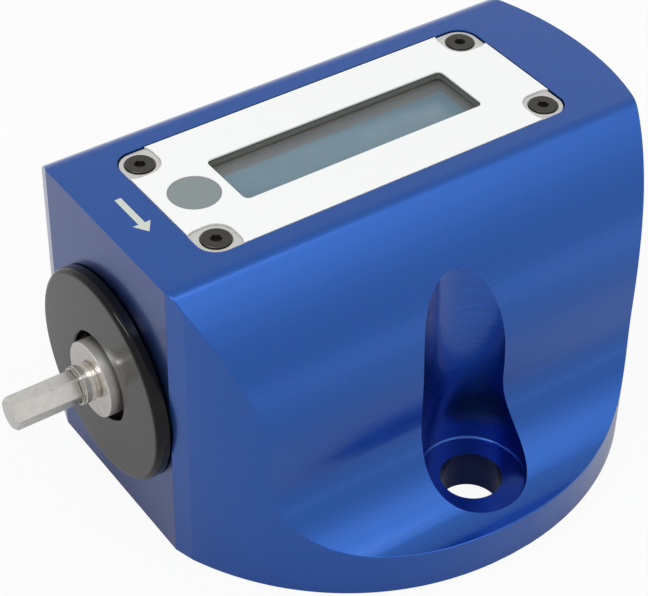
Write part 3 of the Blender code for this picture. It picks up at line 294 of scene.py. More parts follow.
class Finish(Nodes):
    """A material on the Principled shader, with patterns in the piece's own coordinates."""

    def __init__(self, name, colour, roughness, metallic=0.0, **others):
        self.material = bpy.data.materials.new(name)
        self.material.use_nodes = True
        super().__init__(self.material.node_tree, "Principled BSDF")
        self.feed("Base Color", (*colour, 1.0))
        self.feed("Roughness", roughness)
        self.feed("Metallic", metallic)
        for socket, value in others.items():
            self.feed(socket.replace("_", " ").title().replace("Ior", "IOR"), value)
        self.place = self.node("TexCoord", output="Object")

    def axis(self, letter):
        """Object coordinate along one axis, in metres."""
        return self.node("SeparateXYZ", sockets={0: self.place}, output=letter)

    def distance(self, first, second):
        """Distance from an axis, from the two coordinates across it."""
        return self.maths("POWER", first * first + second * second, 0.5)

    def noise(self, place, detail):
        """Noise about one half, a unit of its place across."""
        return self.node("TexNoise", sockets={"Vector": place, "Scale": 1.0, "Detail": detail})

    def grain(self, pitch, stretch=(1.0, 1.0, 1.0), detail=3.0):
        """Noise of about a pitch in metres, drawn out along an axis by a stretch below 1."""
        scaled = self.node("VectorMath", {"operation": "MULTIPLY"},
                           {0: self.place, 1: tuple(share / pitch for share in stretch)})
        return self.noise(scaled, detail)

    def blend(self, share, first, second):
        """Mix two colours."""
        colours = [c if isinstance(c, Signal) else (*c, 1.0) for c in (first, second)]
        return self.node("Mix", {"data_type": "RGBA"}, {0: share, 6: colours[0], 7: colours[1]}, 2)

    def ramp(self, signal, start, end, low_end=0.0, high_end=1.0):
        """Rise from one value to another as a signal goes from its start to its end."""
        return self.node("MapRange", sockets={0: signal, 1: start, 2: end, 3: low_end, 4: high_end})

    def spread(self, signal, low_end, high_end):
        """Stretch noise about one half over a range."""
        return self.ramp(signal, 0.3, 0.7, low_end, high_end)

    def relief(self, height, depth):
        """Bump the surface by a height of up to a depth in metres."""
        bumped = self.node("Bump", sockets={"Height": height, "Distance": depth, "Strength": 1.0})
        self.feed("Normal", bumped)


def dress(piece, finish, body="tester", replaced=()):
    """Give a piece its finish, its body and the solids that it stands for."""
    piece.data.materials.clear()
    piece.data.materials.append(finish.material)
    if "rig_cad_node" not in piece:
        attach(piece, body)
    if replaced:
        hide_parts(*replaced)


def housing_block():
    """Outer form: the section swept between the flat front and the rounded end, then walled down."""
    half = flank_places()
    places = [-y for y in reversed(half)] + half[1:]
    shape = bmesh.new()
    section = []
    for y in places:
        levels = [height_at(y)]
        if abs(abs(y) - waist) < weld:
            levels = [crown_level, sweep_top]
            if y < 0.0:
                levels.reverse()
        section += [(y, z) for z in levels]
    chain = [shape.verts.new((reach_at(y, round_end), y, z)) for y, z in section]
    edges = [shape.edges.new(pair) for pair in zip(chain, chain[1:])]
    swept = bmesh.ops.extrude_edge_only(shape, edges=edges)
    for vert in (v for v in swept["geom"] if isinstance(v, bmesh.types.BMVert)):
        vert.co.x = front_at(vert.co.y)
    bmesh.ops.remove_doubles(shape, verts=shape.verts, dist=weld)
    walls = bmesh.ops.extrude_edge_only(shape, edges=[e for e in shape.edges if e.is_boundary])
    for vert in (v for v in walls["geom"] if isinstance(v, bmesh.types.BMVert)):
        vert.co.z = 0.0
    bmesh.ops.remove_doubles(shape, verts=shape.verts, dist=weld)
    slivers = [f for f in shape.faces if f.calc_area() < weld * weld]
    bmesh.ops.delete(shape, geom=slivers, context="FACES_ONLY")
    everything = shape.verts[:] + shape.edges[:] + shape.faces[:]
    bmesh.ops.bisect_plane(shape, geom=everything, plane_co=(0.0, 0.0, sweep_top),
                           plane_no=(0.0, 0.0, 1.0), dist=0.1 * weld)
    bmesh.ops.remove_doubles(shape, verts=shape.verts, dist=weld)
    bmesh.ops.contextual_create(shape, geom=[e for e in shape.edges if e.is_boundary])
    bmesh.ops.dissolve_limit(shape, angle_limit=math.radians(0.1), verts=shape.verts, edges=shape.edges)
    bmesh.ops.recalc_face_normals(shape, faces=shape.faces)
    crisp = [e for e in shape.edges if e.calc_face_angle(0.0) > math.radians(30.0)]
    bmesh.ops.bevel(shape, geom=crisp, offset=edge_round, segments=2, profile=0.5, material=-1,
                    affect="EDGES")
    return add_piece("housing_block", shape, 20.0)


def pocket(name, length, width, floor_level, roof_level, corner, steps=6, middle=0.0):
    """Cutter for a pocket with rounded corners on the block's centre line, in millimetres."""
    return slab(name, mm(middle - length / 2, -width / 2, floor_level),
                mm(middle + length / 2, width / 2, roof_level), corner * MM, steps)


housing = housing_block()
bolt_along = 1.0 * MM
bolt_across = 52.4 * MM
bolt_hole = 7.35 * MM
bolt_channel = 12.95 * MM
bolt_seat = 10.4 * MM
seat_corner = 0.6 * MM
cap_bore = 22.2 * MM
cap_bore_depth = 8.9 * MM
shaft_bore = 18.2 * MM
shaft_bore_depth = 65.3 * MM
panel_length = 100.0
panel_width = 41.3
panel_corner = 4.75
panel_play = 0.3
tap = 2.2 * MM
board_tap = 1.3 * MM
lead_passage = 2.1 * MM
anchor_pitch = 8.84 * MM
anchor_places = [(y * anchor_pitch, shaft_level + z * anchor_pitch)
                 for y, z in ((1, 1), (-1, 1), (-1, -1), (1, -1))]
screw_places = [mm(x, y) for x in (-45.25, 45.25) for y in (-15.9, 15.9)]
board_places = [mm(x, y) for x in (-37.0, 11.0) for y in (-13.0, 13.0)]
cutters = []
for side in (-1.0, 1.0):
    place = (bolt_along, side * bolt_across)
    cutters.append(bar("bolt_hole", bolt_hole, -5.0 * MM, 20.0 * MM, place))
    cutters.append(bar("bolt_channel", bolt_channel, bolt_seat, 90.0 * MM, place, steps=128,
                       edge=seat_corner))
cutters.append(bar("cap_bore", cap_bore, front - MM, front + cap_bore_depth, shaft_axis, along_x=True))
cutters.append(bar("shaft_bore", shaft_bore, front, front + shaft_bore_depth, shaft_axis, along_x=True))
for place in anchor_places:
    cutters.append(bar("anchor_tap", tap, 0.0, 11.0 * MM, place, steps=32, along_x=True))
cutters.append(pocket("panel_recess", panel_length + 2 * panel_play, panel_width + 2 * panel_play,
                      74.98, 90.0, panel_corner + panel_play, steps=12))
cutters.append(pocket("board_pocket", 81.4, 37.2, 57.0, 91.0, corner=2.0))
cutters.append(pocket("board_pocket_ends", 97.2, 20.8, 57.3, 92.0, corner=2.0))
cutters.append(pocket("battery_well", 18.7, 27.7, 9.7, 93.0, corner=2.3, middle=30.0))
cutters.append(bar("lead_passage", lead_passage, 46.0 * MM, 60.0 * MM, mm(-24.0, 0.0), steps=32))
for place in screw_places:
    cutters.append(bar("cover_tap", tap, 65.5 * MM, 94.0 * MM, place, steps=32))
for place in board_places:
    cutters.append(bar("board_tap", board_tap, 54.6 * MM, 60.0 * MM, place, steps=24))
carve(housing, cutters)
front_zone = -60.0 * MM
for edge in housing.data.edges:
    ends = [housing.data.vertices[i].co for i in edge.vertices]
    for line in (front_half, corner_half):
        if all(abs(abs(end.y) - line) < 0.02 * MM and end.x < front_zone for end in ends):
            edge.use_edge_sharp = True
even_shading(housing)

blasted_blue = (0.0075, 0.081, 0.385), (0.0125, 0.106, 0.460)
cut_blue_and_painted_light = (0.013, 0.079, 0.385), (0.019, 0.110, 0.490)
faced_blue = (0.013, 0.056, 0.265), (0.020, 0.068, 0.300)
hole_shade_blue = (0.012, 0.026, 0.120)
bare_silver = (0.56, 0.59, 0.53)
arrow_line = -56.05 * MM
arrow_point = -6.32 * MM
head_end = -3.03 * MM
head_slope = 2.22 / 3.29
stem_end = 7.2 * MM
stem_half = 0.8 * MM
blue = Finish("blue_anodised", (0.010, 0.080, 0.370), 0.26, 1.0, coat_weight=1.0,
              coat_roughness=0.14, coat_ior=1.38)
x, y, z = (blue.axis(letter) for letter in "XYZ")
cloud = blue.spread(blue.grain(9.0 * MM), 0.93, 1.07)
blast = blue.grain(0.22 * MM, detail=2.0)
cutter_lines = blue.grain(0.6 * MM, (0.03, 0.03, 1.0), 2.0)
face_lines = blue.grain(0.5 * MM, (1.0, 1.0, 0.05), 2.0)
from_bolt = blue.distance(x - bolt_along, abs(y) - bolt_across)
in_channel = (from_bolt < bolt_channel + 0.15 * MM) * (z > bolt_seat + 0.8 * MM)
on_seat = (from_bolt < bolt_channel - 0.05 * MM) * (z > bolt_seat - 0.1 * MM) * (z < bolt_seat + 0.1 * MM)
in_hole = (from_bolt < bolt_hole + 0.15 * MM) * (z < bolt_seat - 0.1 * MM)
is_front = x < front + 0.03 * MM
tone = blue.blend(blue.spread(blast, 0.35, 0.65), *blasted_blue)
# The bolt channels get a milled blue with cutter lines, made a little lighter as painted light against
# the shade in the channels.
tone = blue.blend(in_channel, tone, blue.blend(blue.spread(cutter_lines, 0.0, 1.0), *cut_blue_and_painted_light))
# Painted shade: the bolt holes below the seats are darkened to a deep blue, where shade falls in them.
tone = blue.blend(in_hole, tone, hole_shade_blue)
tone = blue.blend(is_front + on_seat, tone, blue.blend(blue.spread(face_lines, 0.0, 1.0), *faced_blue))
off_line = abs(x - arrow_line)
along_head = y - arrow_point
head = (along_head > 0.0) * (y < head_end) * (off_line < along_head * head_slope)
stem = (y > head_end - 0.01 * MM) * (y < stem_end) * (off_line < stem_half)
arrow = (head + stem) * (z > top - 0.05 * MM)
blue.feed("Base Color", blue.blend(arrow, tone, bare_silver))
blue.feed("Roughness", blue.spread(blast, 0.23, 0.29) * cloud + arrow * 0.3 + is_front * 0.08)
blue.feed("Metallic", 1.0 - arrow)
blue.feed("Coat Weight", 1.0 - in_hole * 0.7 - is_front * 0.2)
blue.relief(blast + cutter_lines * in_channel * 0.8, 0.0025 * MM)
dress(housing, blue, replaced=("housing",))

# Drive shaft
# One bar of alloy steel turned and ground between centres, its front milled to a 7.2 mm hex and
# lightly stained by heat and oil at the undercuts. The anchor at its rear is screwed to the block.

hex_width = 7.2
hex_turn = math.radians(56.0)
hex_end = -26.3
hex_corner = 4.057
neck_end = -9.1
collar_end = -5.82
collar = 9.27


def arc(centre, radius, start, end, steps):
    """Points of an arc in radius and depth, between two angles in degrees."""
    angles = [math.radians(start + (end - start) * i / steps) for i in range(steps + 1)]
    return [(centre[0] + radius * math.cos(a), centre[1] + radius * math.sin(a)) for a in angles]


def turned(name, profile, ring=True, steps=128, centre=None):
    """Spin a profile of radius and depth in millimetres round the shaft, or round an upright axis."""
    shape = bmesh.new()
    if centre is None:
        points = [(front + depth * MM, 0.0, shaft_level + radius * MM) for radius, depth in profile]
        pivot = (0.0, 0.0, shaft_level)
        axis = (1.0, 0.0, 0.0)
    else:
        points = [(centre[0] + radius * MM, centre[1], level * MM) for radius, level in profile]
        pivot = (*centre, 0.0)
        axis = (0.0, 0.0, 1.0)
    verts = [shape.verts.new(point) for point in points]
    edges = [shape.edges.new(pair) for pair in zip(verts, verts[1:])]
    if ring:
        edges.append(shape.edges.new((verts[-1], verts[0])))
    bmesh.ops.spin(shape, geom=verts + edges, cent=pivot, axis=axis, angle=2 * math.pi, steps=steps,
                   use_merge=True, use_duplicate=False)
    bmesh.ops.remove_doubles(shape, verts=shape.verts, dist=weld)
    bmesh.ops.recalc_face_normals(shape, faces=shape.faces)
    return add_piece(name, shape, 25.0)


front_profile = [
    (0.0, neck_end), (4.57, neck_end), (4.65, -9.0), (4.65, -6.6), (4.57, -6.52), (4.2, -6.52),
    (4.2, collar_end), (8.97, collar_end), (9.2, -5.73), (collar, -5.5), (collar, 0.3)]
journal_profile = [(8.2, 0.3), (8.2, 7.5), (7.9, 7.8)]
torsion_profile = arc((8.0, 15.0), 2.5, 270.0, 180.0, 10) + arc((8.0, 48.0), 2.5, 180.0, 90.0, 10)
anchor_profile = [
    (8.2, 50.5), (8.2, 57.0), (17.6, 57.0), (17.9, 57.3), (17.9, 64.7), (17.6, 65.0), (0.0, 65.0)]
shaft = turned("drive_shaft", front_profile + journal_profile + torsion_profile + anchor_profile, False)
hex_bar = bar("hex_bar", hex_width / math.sqrt(3) * MM, front - 27.0 * MM, front - 8.5 * MM, shaft_axis,
              steps=6, along_x=True, turn=hex_turn)
envelope = turned("hex_envelope", [(0.0, hex_end), (3.45, hex_end), (hex_corner, -25.7),
                                   (hex_corner, -8.0), (0.0, -8.0)], False, 96)
carve(hex_bar, [envelope], "INTERSECT")
carve(shaft, [hex_bar], "UNION")
cuts = [bar("anchor_hole", tap, -8.0 * MM, 2.0 * MM, place, steps=32, along_x=True)
        for place in anchor_places]
for low_level, high_level in ((26.0, 32.4), (41.6, 48.0)):
    cuts.append(slab("gauge_flat", mm(-39.5, -9.0, low_level), mm(-25.5, 9.0, high_level)))
carve(shaft, cuts)
even_shading(shaft)

dull_steel = (0.64, 0.615, 0.58)
fair_steel = (0.72, 0.71, 0.67)
brushed_steel = (0.79, 0.78, 0.745)
neck_steel_and_painted_sheen = (0.90, 0.885, 0.85)
oil_stain_and_shade_brown = (0.20, 0.115, 0.065)
steel = Finish("ground_steel", (0.74, 0.72, 0.68), 0.28, 1.0)
depth = (steel.axis("X") - front) * (1.0 / MM)
off_axis = steel.distance(steel.axis("Y"), steel.axis("Z") - shaft_level) * (1.0 / MM)
lathe_place = steel.node("CombineXYZ", sockets={0: depth * 6.0, 1: off_axis * 6.0})
lathe_lines = steel.noise(lathe_place, 2.0)
milled = steel.grain(0.3 * MM, (0.06, 1.0, 1.0), 2.0)
brushed = steel.node("Mix", {"data_type": "FLOAT"}, {0: depth < neck_end, 2: lathe_lines, 3: milled})
mottled = steel.grain(1.3 * MM, detail=4.0)
worn = steel.blend(steel.spread(mottled, 0.0, 1.0), dull_steel, fair_steel)
worn = steel.blend(steel.spread(brushed, 0.0, 0.3), worn, brushed_steel)
# Behind the hex the steel is lighter, partly its bright grind and partly a painted sheen on the neck and
# collar.
worn = steel.blend((depth > neck_end - 0.1) * 0.75, worn, neck_steel_and_painted_sheen)
near_neck = 1.0 - steel.ramp(abs(depth + 6.3), 0.2, 1.1)
near_root = 1.0 - steel.ramp(abs(depth + 10.1), 0.0, 1.6)
stain = (near_neck * 0.55 + near_root * 0.4) * steel.spread(mottled, 0.4, 1.0)
collar_side = (off_axis > 9.2) * (depth > -5.8)
# Painted shade: the hex's trimmed corners are darkened a little toward brown to damp their highlight.
corner_shade = (off_axis > 4.03) * (depth < -9.9)
steel.feed("Base Color", steel.blend(stain + corner_shade * 0.15, worn, oil_stain_and_shade_brown))
gloss = steel.spread(brushed, 0.18, 0.24) + stain * 0.15
steel.feed("Roughness", gloss + collar_side * 0.20 + corner_shade * 0.25)
steel.relief(brushed, 0.0006 * MM)
dress(shaft, steel, replaced=("torsion_shaft",))

# Stop ring
# Thin ring of bright spring steel, pressed over the hex and against the neck, where it stops a
# socket short of the collar.

stop_ring = turned("hex_stop_ring", [(4.257, -9.8), (4.55, -9.8), (4.607, -9.74), (4.607, -9.56),
                                     (4.55, -9.5), (4.257, -9.5)])
dress(stop_ring, steel, replaced=("stop_ring",))

# Anchor screws, gauges and bearing
# Socket screws through the anchor, two foil gauges bonded to the torsion bar's flats, and a ball
# bearing with ground rings and a greased brass cage, held in the cap by an internal circlip.


def mottle(name, colour, roughness, metallic=0.0, pitch=0.6 * MM, shade=0.8, stretch=(1.0, 1.0, 1.0)):
    """Finish whose colour and gloss vary a little over the surface, as real stock does."""
    made = Finish(name, colour, roughness, metallic)
    patches = made.grain(pitch, stretch)
    darker = tuple(shade * share for share in colour)
    made.feed("Base Color", made.blend(made.spread(patches, 0.0, 1.0), darker, colour))
    made.feed("Roughness", made.spread(patches, 0.9 * roughness, min(1.0, 1.1 * roughness)))
    return made


def dress_solids(names, finish):
    """Give solids that keep their own shape their finish and their material slot."""
    for name in names:
        dress(frame["nodes"][name], finish)


def four(name):
    """Names of four like pieces."""
    return ["%s_%d" % (name, number) for number in range(1, 5)]


oxide = mottle("black_oxide", (0.064, 0.061, 0.054), 0.36, 0.7, 0.35 * MM)
foil = mottle("gauge_foil", (0.62, 0.38, 0.12), 0.45, 0.3, 0.2 * MM, 0.6, (1.0, 0.1, 1.0))
race = mottle("bearing_steel", (0.70, 0.69, 0.67), 0.18, 1.0, 0.4 * MM, 0.92, (1.0, 0.1, 0.1))
greased = mottle("greased_brass", (0.055, 0.042, 0.022), 0.6, 0.6, 0.5 * MM)
dress_solids(four("anchor_screw") + ["bearing_circlip"], oxide)
dress_solids(["upper_gauge", "lower_gauge", "key_tail"], foil)
dress_solids(["bearing_inner_ring", "bearing_outer_ring"], race)
dress_solids(["ball_cage"], greased)

# Front cap
# Turned from aluminium bar and dyed black: a rounded flange on the block's face, a spigot with an
# O-ring groove that presses into the bore, and a wide hole round the shaft's collar.

cap_hole = 11.06
spigot = 21.9
seat_bore = 13.3
face_profile = [(cap_hole, -3.35), (cap_hole + 0.3, -3.65)] + arc((24.4, -2.05), 1.6, -90.0, 0.0, 12)
spigot_profile = [(26.0, -0.42), (25.88, -0.3), (spigot, -0.3), (spigot, 3.65), (20.4, 3.65),
                  (20.4, 5.55), (spigot, 5.55), (spigot, 8.3), (21.6, 8.6)]
seat_profile = [(seat_bore, 8.6), (seat_bore, 7.2), (14.3, 7.2), (14.3, 5.6), (seat_bore, 5.6),
                (seat_bore, 0.3), (cap_hole, 0.3)]
cap = turned("bearing_cap", face_profile + spigot_profile + seat_profile, steps=160)
face_black = (0.090, 0.088, 0.085), (0.126, 0.124, 0.120)
rim_black = (0.005, 0.005, 0.006)
black = Finish("black_anodised", (0.130, 0.128, 0.124), 0.32, 0.9, coat_roughness=0.10,
               specular_ior_level=0.14)
radius = black.distance(black.axis("Y"), black.axis("Z") - shaft_level)
rings = black.noise(black.node("CombineXYZ", sockets={0: radius * (1.0 / (0.3 * MM))}), 2.0)
dust = black.grain(0.5 * MM)
polished = black.ramp(radius, 24.8 * MM, 25.2 * MM)
turned_face = black.blend(black.spread(rings, 0.1, 0.9), *face_black)
black.feed("Base Color", black.blend(polished, turned_face, rim_black))
black.feed("Metallic", 0.9 - polished * 0.9)
gloss = black.spread(rings, 0.17, 0.22) + black.spread(dust, -0.02, 0.02)
black.feed("Roughness", gloss - polished * 0.06)
black.feed("Coat Weight", polished * 0.12)
black.relief(rings, 0.0008 * MM)
dress(cap, black, replaced=("front_cap",))
rubber = mottle("rubber_black", (0.022, 0.022, 0.021), 0.72, 0.0, 0.3 * MM)
dress_solids(["cap_o_ring", "panel_gasket"], rubber)

# Battery and leads
# A nine volt block upright in its well, under a moulded snap clip. Insulated leads run from the clip
# and from the gauges to their sockets on the main board.

jacket = mottle("battery_jacket", (0.10, 0.11, 0.13), 0.40, 0.5, 2.0 * MM)
moulding = mottle("chip_black", (0.028, 0.028, 0.030), 0.55, 0.0, 0.2 * MM)
dress_solids(["battery"], jacket)
dress_solids(["battery_clip"], moulding)
for name, slot, colour in (("battery_lead_red", "lead_red", (0.55, 0.03, 0.02)),
                           ("battery_lead_black", "lead_black", (0.02, 0.02, 0.02)),
                           ("gauge_lead", "lead_grey", (0.32, 0.32, 0.33))):
    dress_solids([name], mottle(slot, colour, 0.5, 0.0, 0.4 * MM))

# Boards and their parts
# Green glass-epoxy boards with two black chips and moulded sockets, on brass spacers that plated
# screws hold, and the plated snap dome on the key's own circuit.

board = mottle("board_green", (0.025, 0.16, 0.06), 0.38, 0.0, 0.8 * MM, 0.7)
nylon =mottle("plug_nylon", (0.70, 0.68, 0.60), 0.45, 0.0, 0.7 * MM, 0.92)
zinc = mottle("zinc_plate", (0.60, 0.61, 0.62), 0.30, 1.0, 0.5 * MM, 0.88)
brass = mottle("brass", (0.78, 0.56, 0.22), 0.32, 1.0, 0.5 * MM)
dress_solids(["main_board", "display_board", "key_circuit"], board)
dress_solids(["processor_chip", "amplifier_chip", "display_header"], moulding)
dress_solids(["gauge_socket", "battery_socket", "tail_socket"], nylon)
dress_solids(["key_dome"] + four("board_screw") + four("display_screw"), zinc)
dress_solids(four("board_spacer") + four("display_spacer"), brass)

# Display
# Character module: a sheet-metal bezel in a grey lighter than its black paint, as painted light in the
# shaded gap under the plate, round a grey-blue liquid crystal cell with a grey border painted as the
# shade of the window walls, a white backlight behind it, and a clear pane bonded under the panel plate.

window_middle = 0.3 * MM
# Painted light: the bezel is a grey lighter than its black paint, so the shaded gap under the plate looks
# lighter.
bezel = mottle("bezel_black", (0.200, 0.195, 0.180), 0.45, 0.3, 0.4 * MM)
dress_solids(["display_bezel"], bezel)
diffuser = mottle("backlight_white", (0.80, 0.80, 0.78), 0.5, 0.0, 2.0 * MM, 0.95)
dress_solids(["backlight"], diffuser)
cell = slab("crystal_cell", mm(-34.9, -12.0, 72.58), mm(34.9, 12.0, 74.78), 0.3 * MM, 3, 0.15 * MM)
screen_half_length = 31.1 * MM
screen_half_width = 5.0 * MM
cell_border_shade_blur = 0.5 * MM
screen_blue = (0.078, 0.164, 0.228), (0.086, 0.178, 0.242)
cell_border_shade_grey = (0.123, 0.130, 0.140)
glass = Finish("display_glass", (0.095, 0.165, 0.215), 0.22, 0.0, coat_weight=0.1,
               coat_roughness=0.12)
haze = glass.grain(6.0 * MM)
# Painted shade: a grey border round the cell's edges stands in for the shade of the window walls.
side_border_shade = glass.ramp(abs(glass.axis("Y")), screen_half_width, screen_half_width + cell_border_shade_blur)
end_border_shade = glass.ramp(abs(glass.axis("X") - window_middle), screen_half_length,
                        screen_half_length + cell_border_shade_blur)
cell_border_shade = glass.maths("MAXIMUM", side_border_shade, end_border_shade)
screen = glass.blend(glass.spread(haze, 0.0, 1.0), *screen_blue)
glass.feed("Base Color", glass.blend(cell_border_shade, screen, cell_border_shade_grey))
glass.feed("Roughness", glass.spread(glass.grain(0.4 * MM), 0.19, 0.25))
dress(cell, glass, replaced=("display_cell",))
pane = slab("window_pane", mm(-34.7, -10.42, 75.38), mm(35.3, 10.42, 75.98), 0.4 * MM, 3, 0.1 * MM)
clear = Finish("clear_pane", (0.80, 0.84, 0.83), 0.05, 0.0, alpha=0.05)
clear.feed("Roughness", clear.spread(clear.grain(1.5 * MM), 0.03, 0.07))
clear.feed("Alpha", clear.spread(clear.grain(4.0 * MM), 0.04, 0.06))
dress(pane, clear, replaced=("display_pane",))

# Panel plate
# Aluminium plate let into the top of the block on a rubber gasket: clear anodised, with countersunk
# corners left bare by the film, the window and a round recess for the key.

window_length = 66.0
window_width = 16.85
window_corner = 1.5
key_place = mm(-40.8, 0.0)


def panel_sheet(name, low_level, high_level, edge):
    """Rounded sheet of the panel's size, between two levels in millimetres."""
    return slab(name, mm(-panel_length / 2, -panel_width / 2, low_level),
                mm(panel_length / 2, panel_width / 2, high_level), panel_corner * MM, 16, edge)


def window_cutter(name):
    """Cutter for the display window through one layer of the panel."""
    return pocket(name, window_length, window_width, 70.0, 80.0, window_corner, steps=8,
                  middle=window_middle / MM)


plate = panel_sheet("panel_plate", 76.08, 77.7, 0.1 * MM)
countersink = [(0.0, 79.0), (3.7, 79.0), (3.7, 77.6), (2.2, 76.1), (2.2, 75.0), (0.0, 75.0)]
openings = [window_cutter("plate_window"),
            bar("key_recess", 6.4 * MM, 76.38 * MM, 80.0 * MM, key_place),
            slab("tail_slot", mm(-45.65, -3.3, 75.0), mm(-44.75, 3.3, 77.0))]
openings += [turned("countersink", countersink, False, 64, place) for place in screw_places]
carve(plate, openings)
bare_metal = (0.58, 0.57, 0.54), (0.70, 0.69, 0.66)
window_wall_shade_grey = (0.150, 0.155, 0.135)
wall_top_green = (0.014, 0.050, 0.030)
satin = Finish("clear_anodised", (0.66, 0.65, 0.62), 0.42, 0.55)
x, y, z = (satin.axis(letter) for letter in "XYZ")
fine = satin.grain(0.25 * MM, (0.15, 1.0, 1.0))
in_window = (abs(x - window_middle) < 33.1 * MM) * (abs(y) < 8.5 * MM)
bare = satin.blend(satin.spread(fine, 0.0, 1.0), *bare_metal)
# Painted shade: the window's walls are coloured a dark olive grey as the shade inside the window; a dark
# green band runs along their top.
window_wall_shade = satin.blend(z > 77.45 * MM, window_wall_shade_grey, wall_top_green)
satin.feed("Base Color", satin.blend(in_window, bare, window_wall_shade))
satin.feed("Metallic", (1.0 - in_window) * 0.55)
satin.feed("Roughness", satin.spread(fine, 0.38, 0.48))
dress(plate, satin, replaced=("cover_plate",))

# Overlay film
# Printed polyester film bonded to the plate: matt white, cut round the window, the key and the four
# screws.

notch_along = 40.5
notch_across = 11.15
notch_size = 11.5
notch_corner = 4.45 * MM
film = panel_sheet("panel_film", 77.8, 78.2, 0.08 * MM)
openings = [window_cutter("film_window"),
            bar("film_key_hole", 6.1 * MM, 76.0 * MM, 80.0 * MM, key_place)]
for sign_x in (-1.0, 1.0):
    for sign_y in (-1.0, 1.0):
        near = mm(sign_x * notch_along, sign_y * notch_across, 70.0)
        far = mm(sign_x * (notch_along + notch_size), sign_y * (notch_across + notch_size), 80.0)
        openings.append(slab("film_notch", [min(pair) for pair in zip(near, far)],
                             [max(pair) for pair in zip(near, far)], notch_corner))
carve(film, openings)
print_white = (0.810, 0.830, 0.820), (0.840, 0.855, 0.845)
white = Finish("white_film", (0.79, 0.80, 0.79), 0.48)
speck = white.grain(0.12 * MM, detail=1.0)
white.feed("Base Color", white.blend(white.spread(speck, 0.0, 1.0), *print_white))
white.feed("Roughness", white.spread(white.grain(3.0 * MM), 0.44, 0.52))
white.relief(speck, 0.001 * MM)
dress(film, white, replaced=("overlay_film",))

# Key
# Moulded grey disc in the film's round hole, a little below the film's face. It lies over a snap
# dome and its circuit, and drops 0.3 mm when it is pressed.

key_top = 78.1 * MM
key = bar("panel_key", 6.04 * MM, 77.55 * MM, key_top, key_place)
shape = bmesh.new()
shape.from_mesh(key.data)
rim = [e for e in shape.edges if all(v.co.z > key_top - 0.05 * MM for v in e.verts)]
bmesh.ops.bevel(shape, geom=rim, offset=0.06 * MM, segments=2, profile=0.5, material=-1,
                affect="EDGES")
shape.to_mesh(key.data)
shape.free()
key.data.shade_smooth()
key.data.set_sharp_from_angle(angle=math.radians(25.0))
grey = mottle("grey_key", (0.212, 0.252, 0.254), 0.42, 0.0, 0.15 * MM, 0.93)
dress(key, grey, "key", replaced=("mode_key",))

# Panel screws
# Four countersunk socket screws of steel with a black oxide finish, through the corners of the
# plate into tapped holes in the block.

screw_head = 3.4
shank = 1.9
screw_profile = [(0.0, 78.1), (screw_head - 0.15, 78.1), (screw_head, 77.98), (screw_head, 77.6),
                 (shank, 76.1), (shank, 66.5), (shank - 0.4, 66.1), (0.0, 66.1)]
mouth_profile = [(0.0, 79.0), (1.55, 79.0), (1.55, 78.25), (1.15, 77.85), (0.0, 77.85)]
socket_width = 2.4
solid_numbers = (1, 4, 2, 3)
for number, (place, solid) in enumerate(zip(screw_places, solid_numbers), 1):
    screw = turned("panel_screw_%d" % number, screw_profile, False, 64, place)
    socket = bar("socket", socket_width / math.sqrt(3) * MM, 76.8 * MM, 80.0 * MM, place, steps=6)
    mouth = turned("socket_mouth", mouth_profile, False, 48, place)
    carve(screw, [socket, mouth])
    even_shading(screw)
    dress(screw, oxide, replaced=("cover_screw_%d" % solid,))

# Floor, light and camera
# A pale studio floor that shows white to the camera but keeps the shadow, a long lamp above on the
# left that metal mirrors, two square ones that it doesn't, a sky that is brighter overhead, and the
# camera where the photograph was taken from.

shape = bmesh.new()
bmesh.ops.create_grid(shape, x_segments=1, y_segments=1, size=6.0)
bmesh.ops.translate(shape, verts=shape.verts, vec=(0.0, 0.0, -0.02 * MM))
floor = add_piece("floor", shape)
paper = Finish("floor_paper", (0.64, 0.64, 0.64), 0.9)
x, y = paper.axis("X"), paper.axis("Y")
# Painted light: seen in metal, the floor glows more with distance from the block, so it is darker near
# the block.
away = paper.ramp(x * x + y * y, 0.02, 0.14, 0.0, 0.78)
camera_ray, through_ray, mirror_ray = (
    paper.node("LightPath", output="Is %s Ray" % kind) for kind in ("Camera", "Transmission", "Glossy"))
direct = paper.maths("MAXIMUM", camera_ray, through_ray)
seen = paper.maths("MAXIMUM", direct * 0.92, mirror_ray * away)
glow = paper.node("Emission", sockets={"Color": (1.0, 1.0, 1.0, 1.0), "Strength": 1.0})
lit = Signal(paper, paper.shader.outputs[0])
shown = paper.node("MixShader", sockets={0: seen, 1: lit, 2: glow})
paper.join(paper.tree.nodes["Material Output"].inputs["Surface"], shown)
floor.data.materials.append(paper.material)


def lobe(sky, way, direction, sharpness):
    """Light that falls away from one direction in the sky."""
    toward = sky.node("VectorMath", {"operation": "DOT_PRODUCT"},
                      {0: way, 1: Vector(direction).normalized()}, "Value")
    return sky.node("Math", {"operation": "POWER", "use_clamp": True}, {0: toward, 1: sharpness})


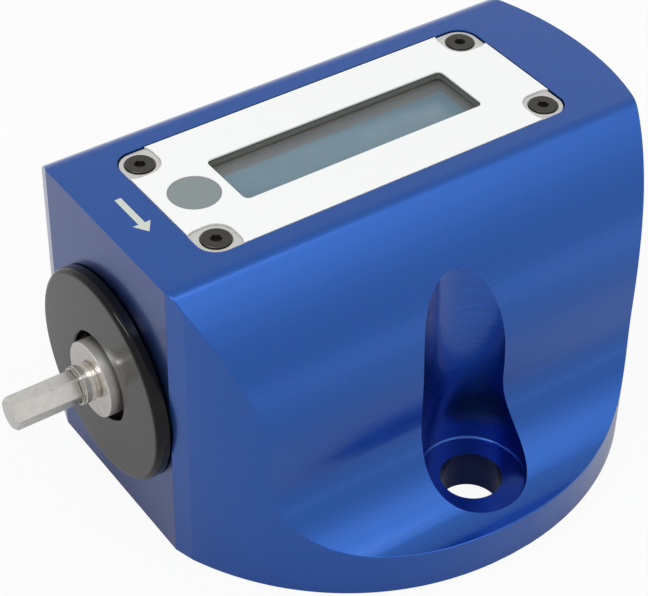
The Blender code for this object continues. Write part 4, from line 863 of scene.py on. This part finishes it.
studio = bpy.data.worlds.new("studio")
studio.use_nodes = True
sky = Nodes(studio.node_tree, "Background")
way = sky.node("TexCoord", output="Generated")
broad = lobe(sky, way, (0.35, -0.50, 0.80), 14.0)
narrow = lobe(sky, way, (0.34, -0.20, 0.92), 150.0)
even_sky = 0.74
sky.feed("Color", (1.0, 1.0, 1.0, 1.0))
sky.feed("Strength", narrow * 1.6 + (broad * 0.74 + even_sky))
bpy.context.scene.world = studio


def lamp(name, place, length, width, along, power, mirrored):
    """Soft flat lamp aimed at the middle of the block, its length turned along a direction."""
    light = bpy.data.lights.new(name, "AREA")
    light.shape = "RECTANGLE"
    light.size = length
    light.size_y = width
    light.energy = power
    source = bpy.data.objects.new(name, light)
    source.visible_glossy = mirrored
    back = (Vector(place) - Vector((0.0, 0.0, 0.04))).normalized()
    lengthways = (Vector(along) - back * Vector(along).dot(back)).normalized()
    axes = Matrix((lengthways, back.cross(lengthways), back)).transposed()
    source.matrix_world = Matrix.Translation(place) @ axes.to_4x4()
    bpy.context.scene.collection.objects.link(source)


lamp("left_softbox", (-0.70, -0.10, 1.16), length=0.80, width=0.22, along=(0.60, -0.90, 0.15),
     power=4.0, mirrored=True)
lamp("back_softbox", (-0.3, 0.9, 1.1), length=0.9, width=0.9, along=(1.0, 0.0, 0.0),
     power=1.6, mirrored=False)
lamp("front_softbox", (0.3, -1.1, 0.9), length=0.8, width=0.8, along=(1.0, 0.0, 0.0),
     power=1.8, mirrored=False)

photo_width = 648
focal_pixels = 2004.45
camera_place = (-0.22087, -0.30126, 0.34688)
yaw = 0.9493
pitch = -0.7061
roll = 0.0229
look = Vector((math.cos(pitch) * math.cos(yaw), math.cos(pitch) * math.sin(yaw), math.sin(pitch)))
right = look.cross(Vector((0.0, 0.0, 1.0))).normalized()
up = right.cross(look)
across = right * math.cos(roll) + up * math.sin(roll)
upward = up * math.cos(roll) - right * math.sin(roll)
turn = Matrix((across, upward, -look)).transposed()
lens = bpy.data.cameras.new("photo_camera")
lens.sensor_width = 36.0
lens.lens = focal_pixels / photo_width * lens.sensor_width
lens.clip_start = 0.01
lens.clip_end = 20.0
camera = bpy.data.objects.new("photo_camera", lens)
camera.matrix_world = Matrix.Translation(camera_place) @ turn.to_4x4()
bpy.context.scene.collection.objects.link(camera)
bpy.context.scene.camera = camera
bpy.context.scene.view_settings.view_transform = "Standard"
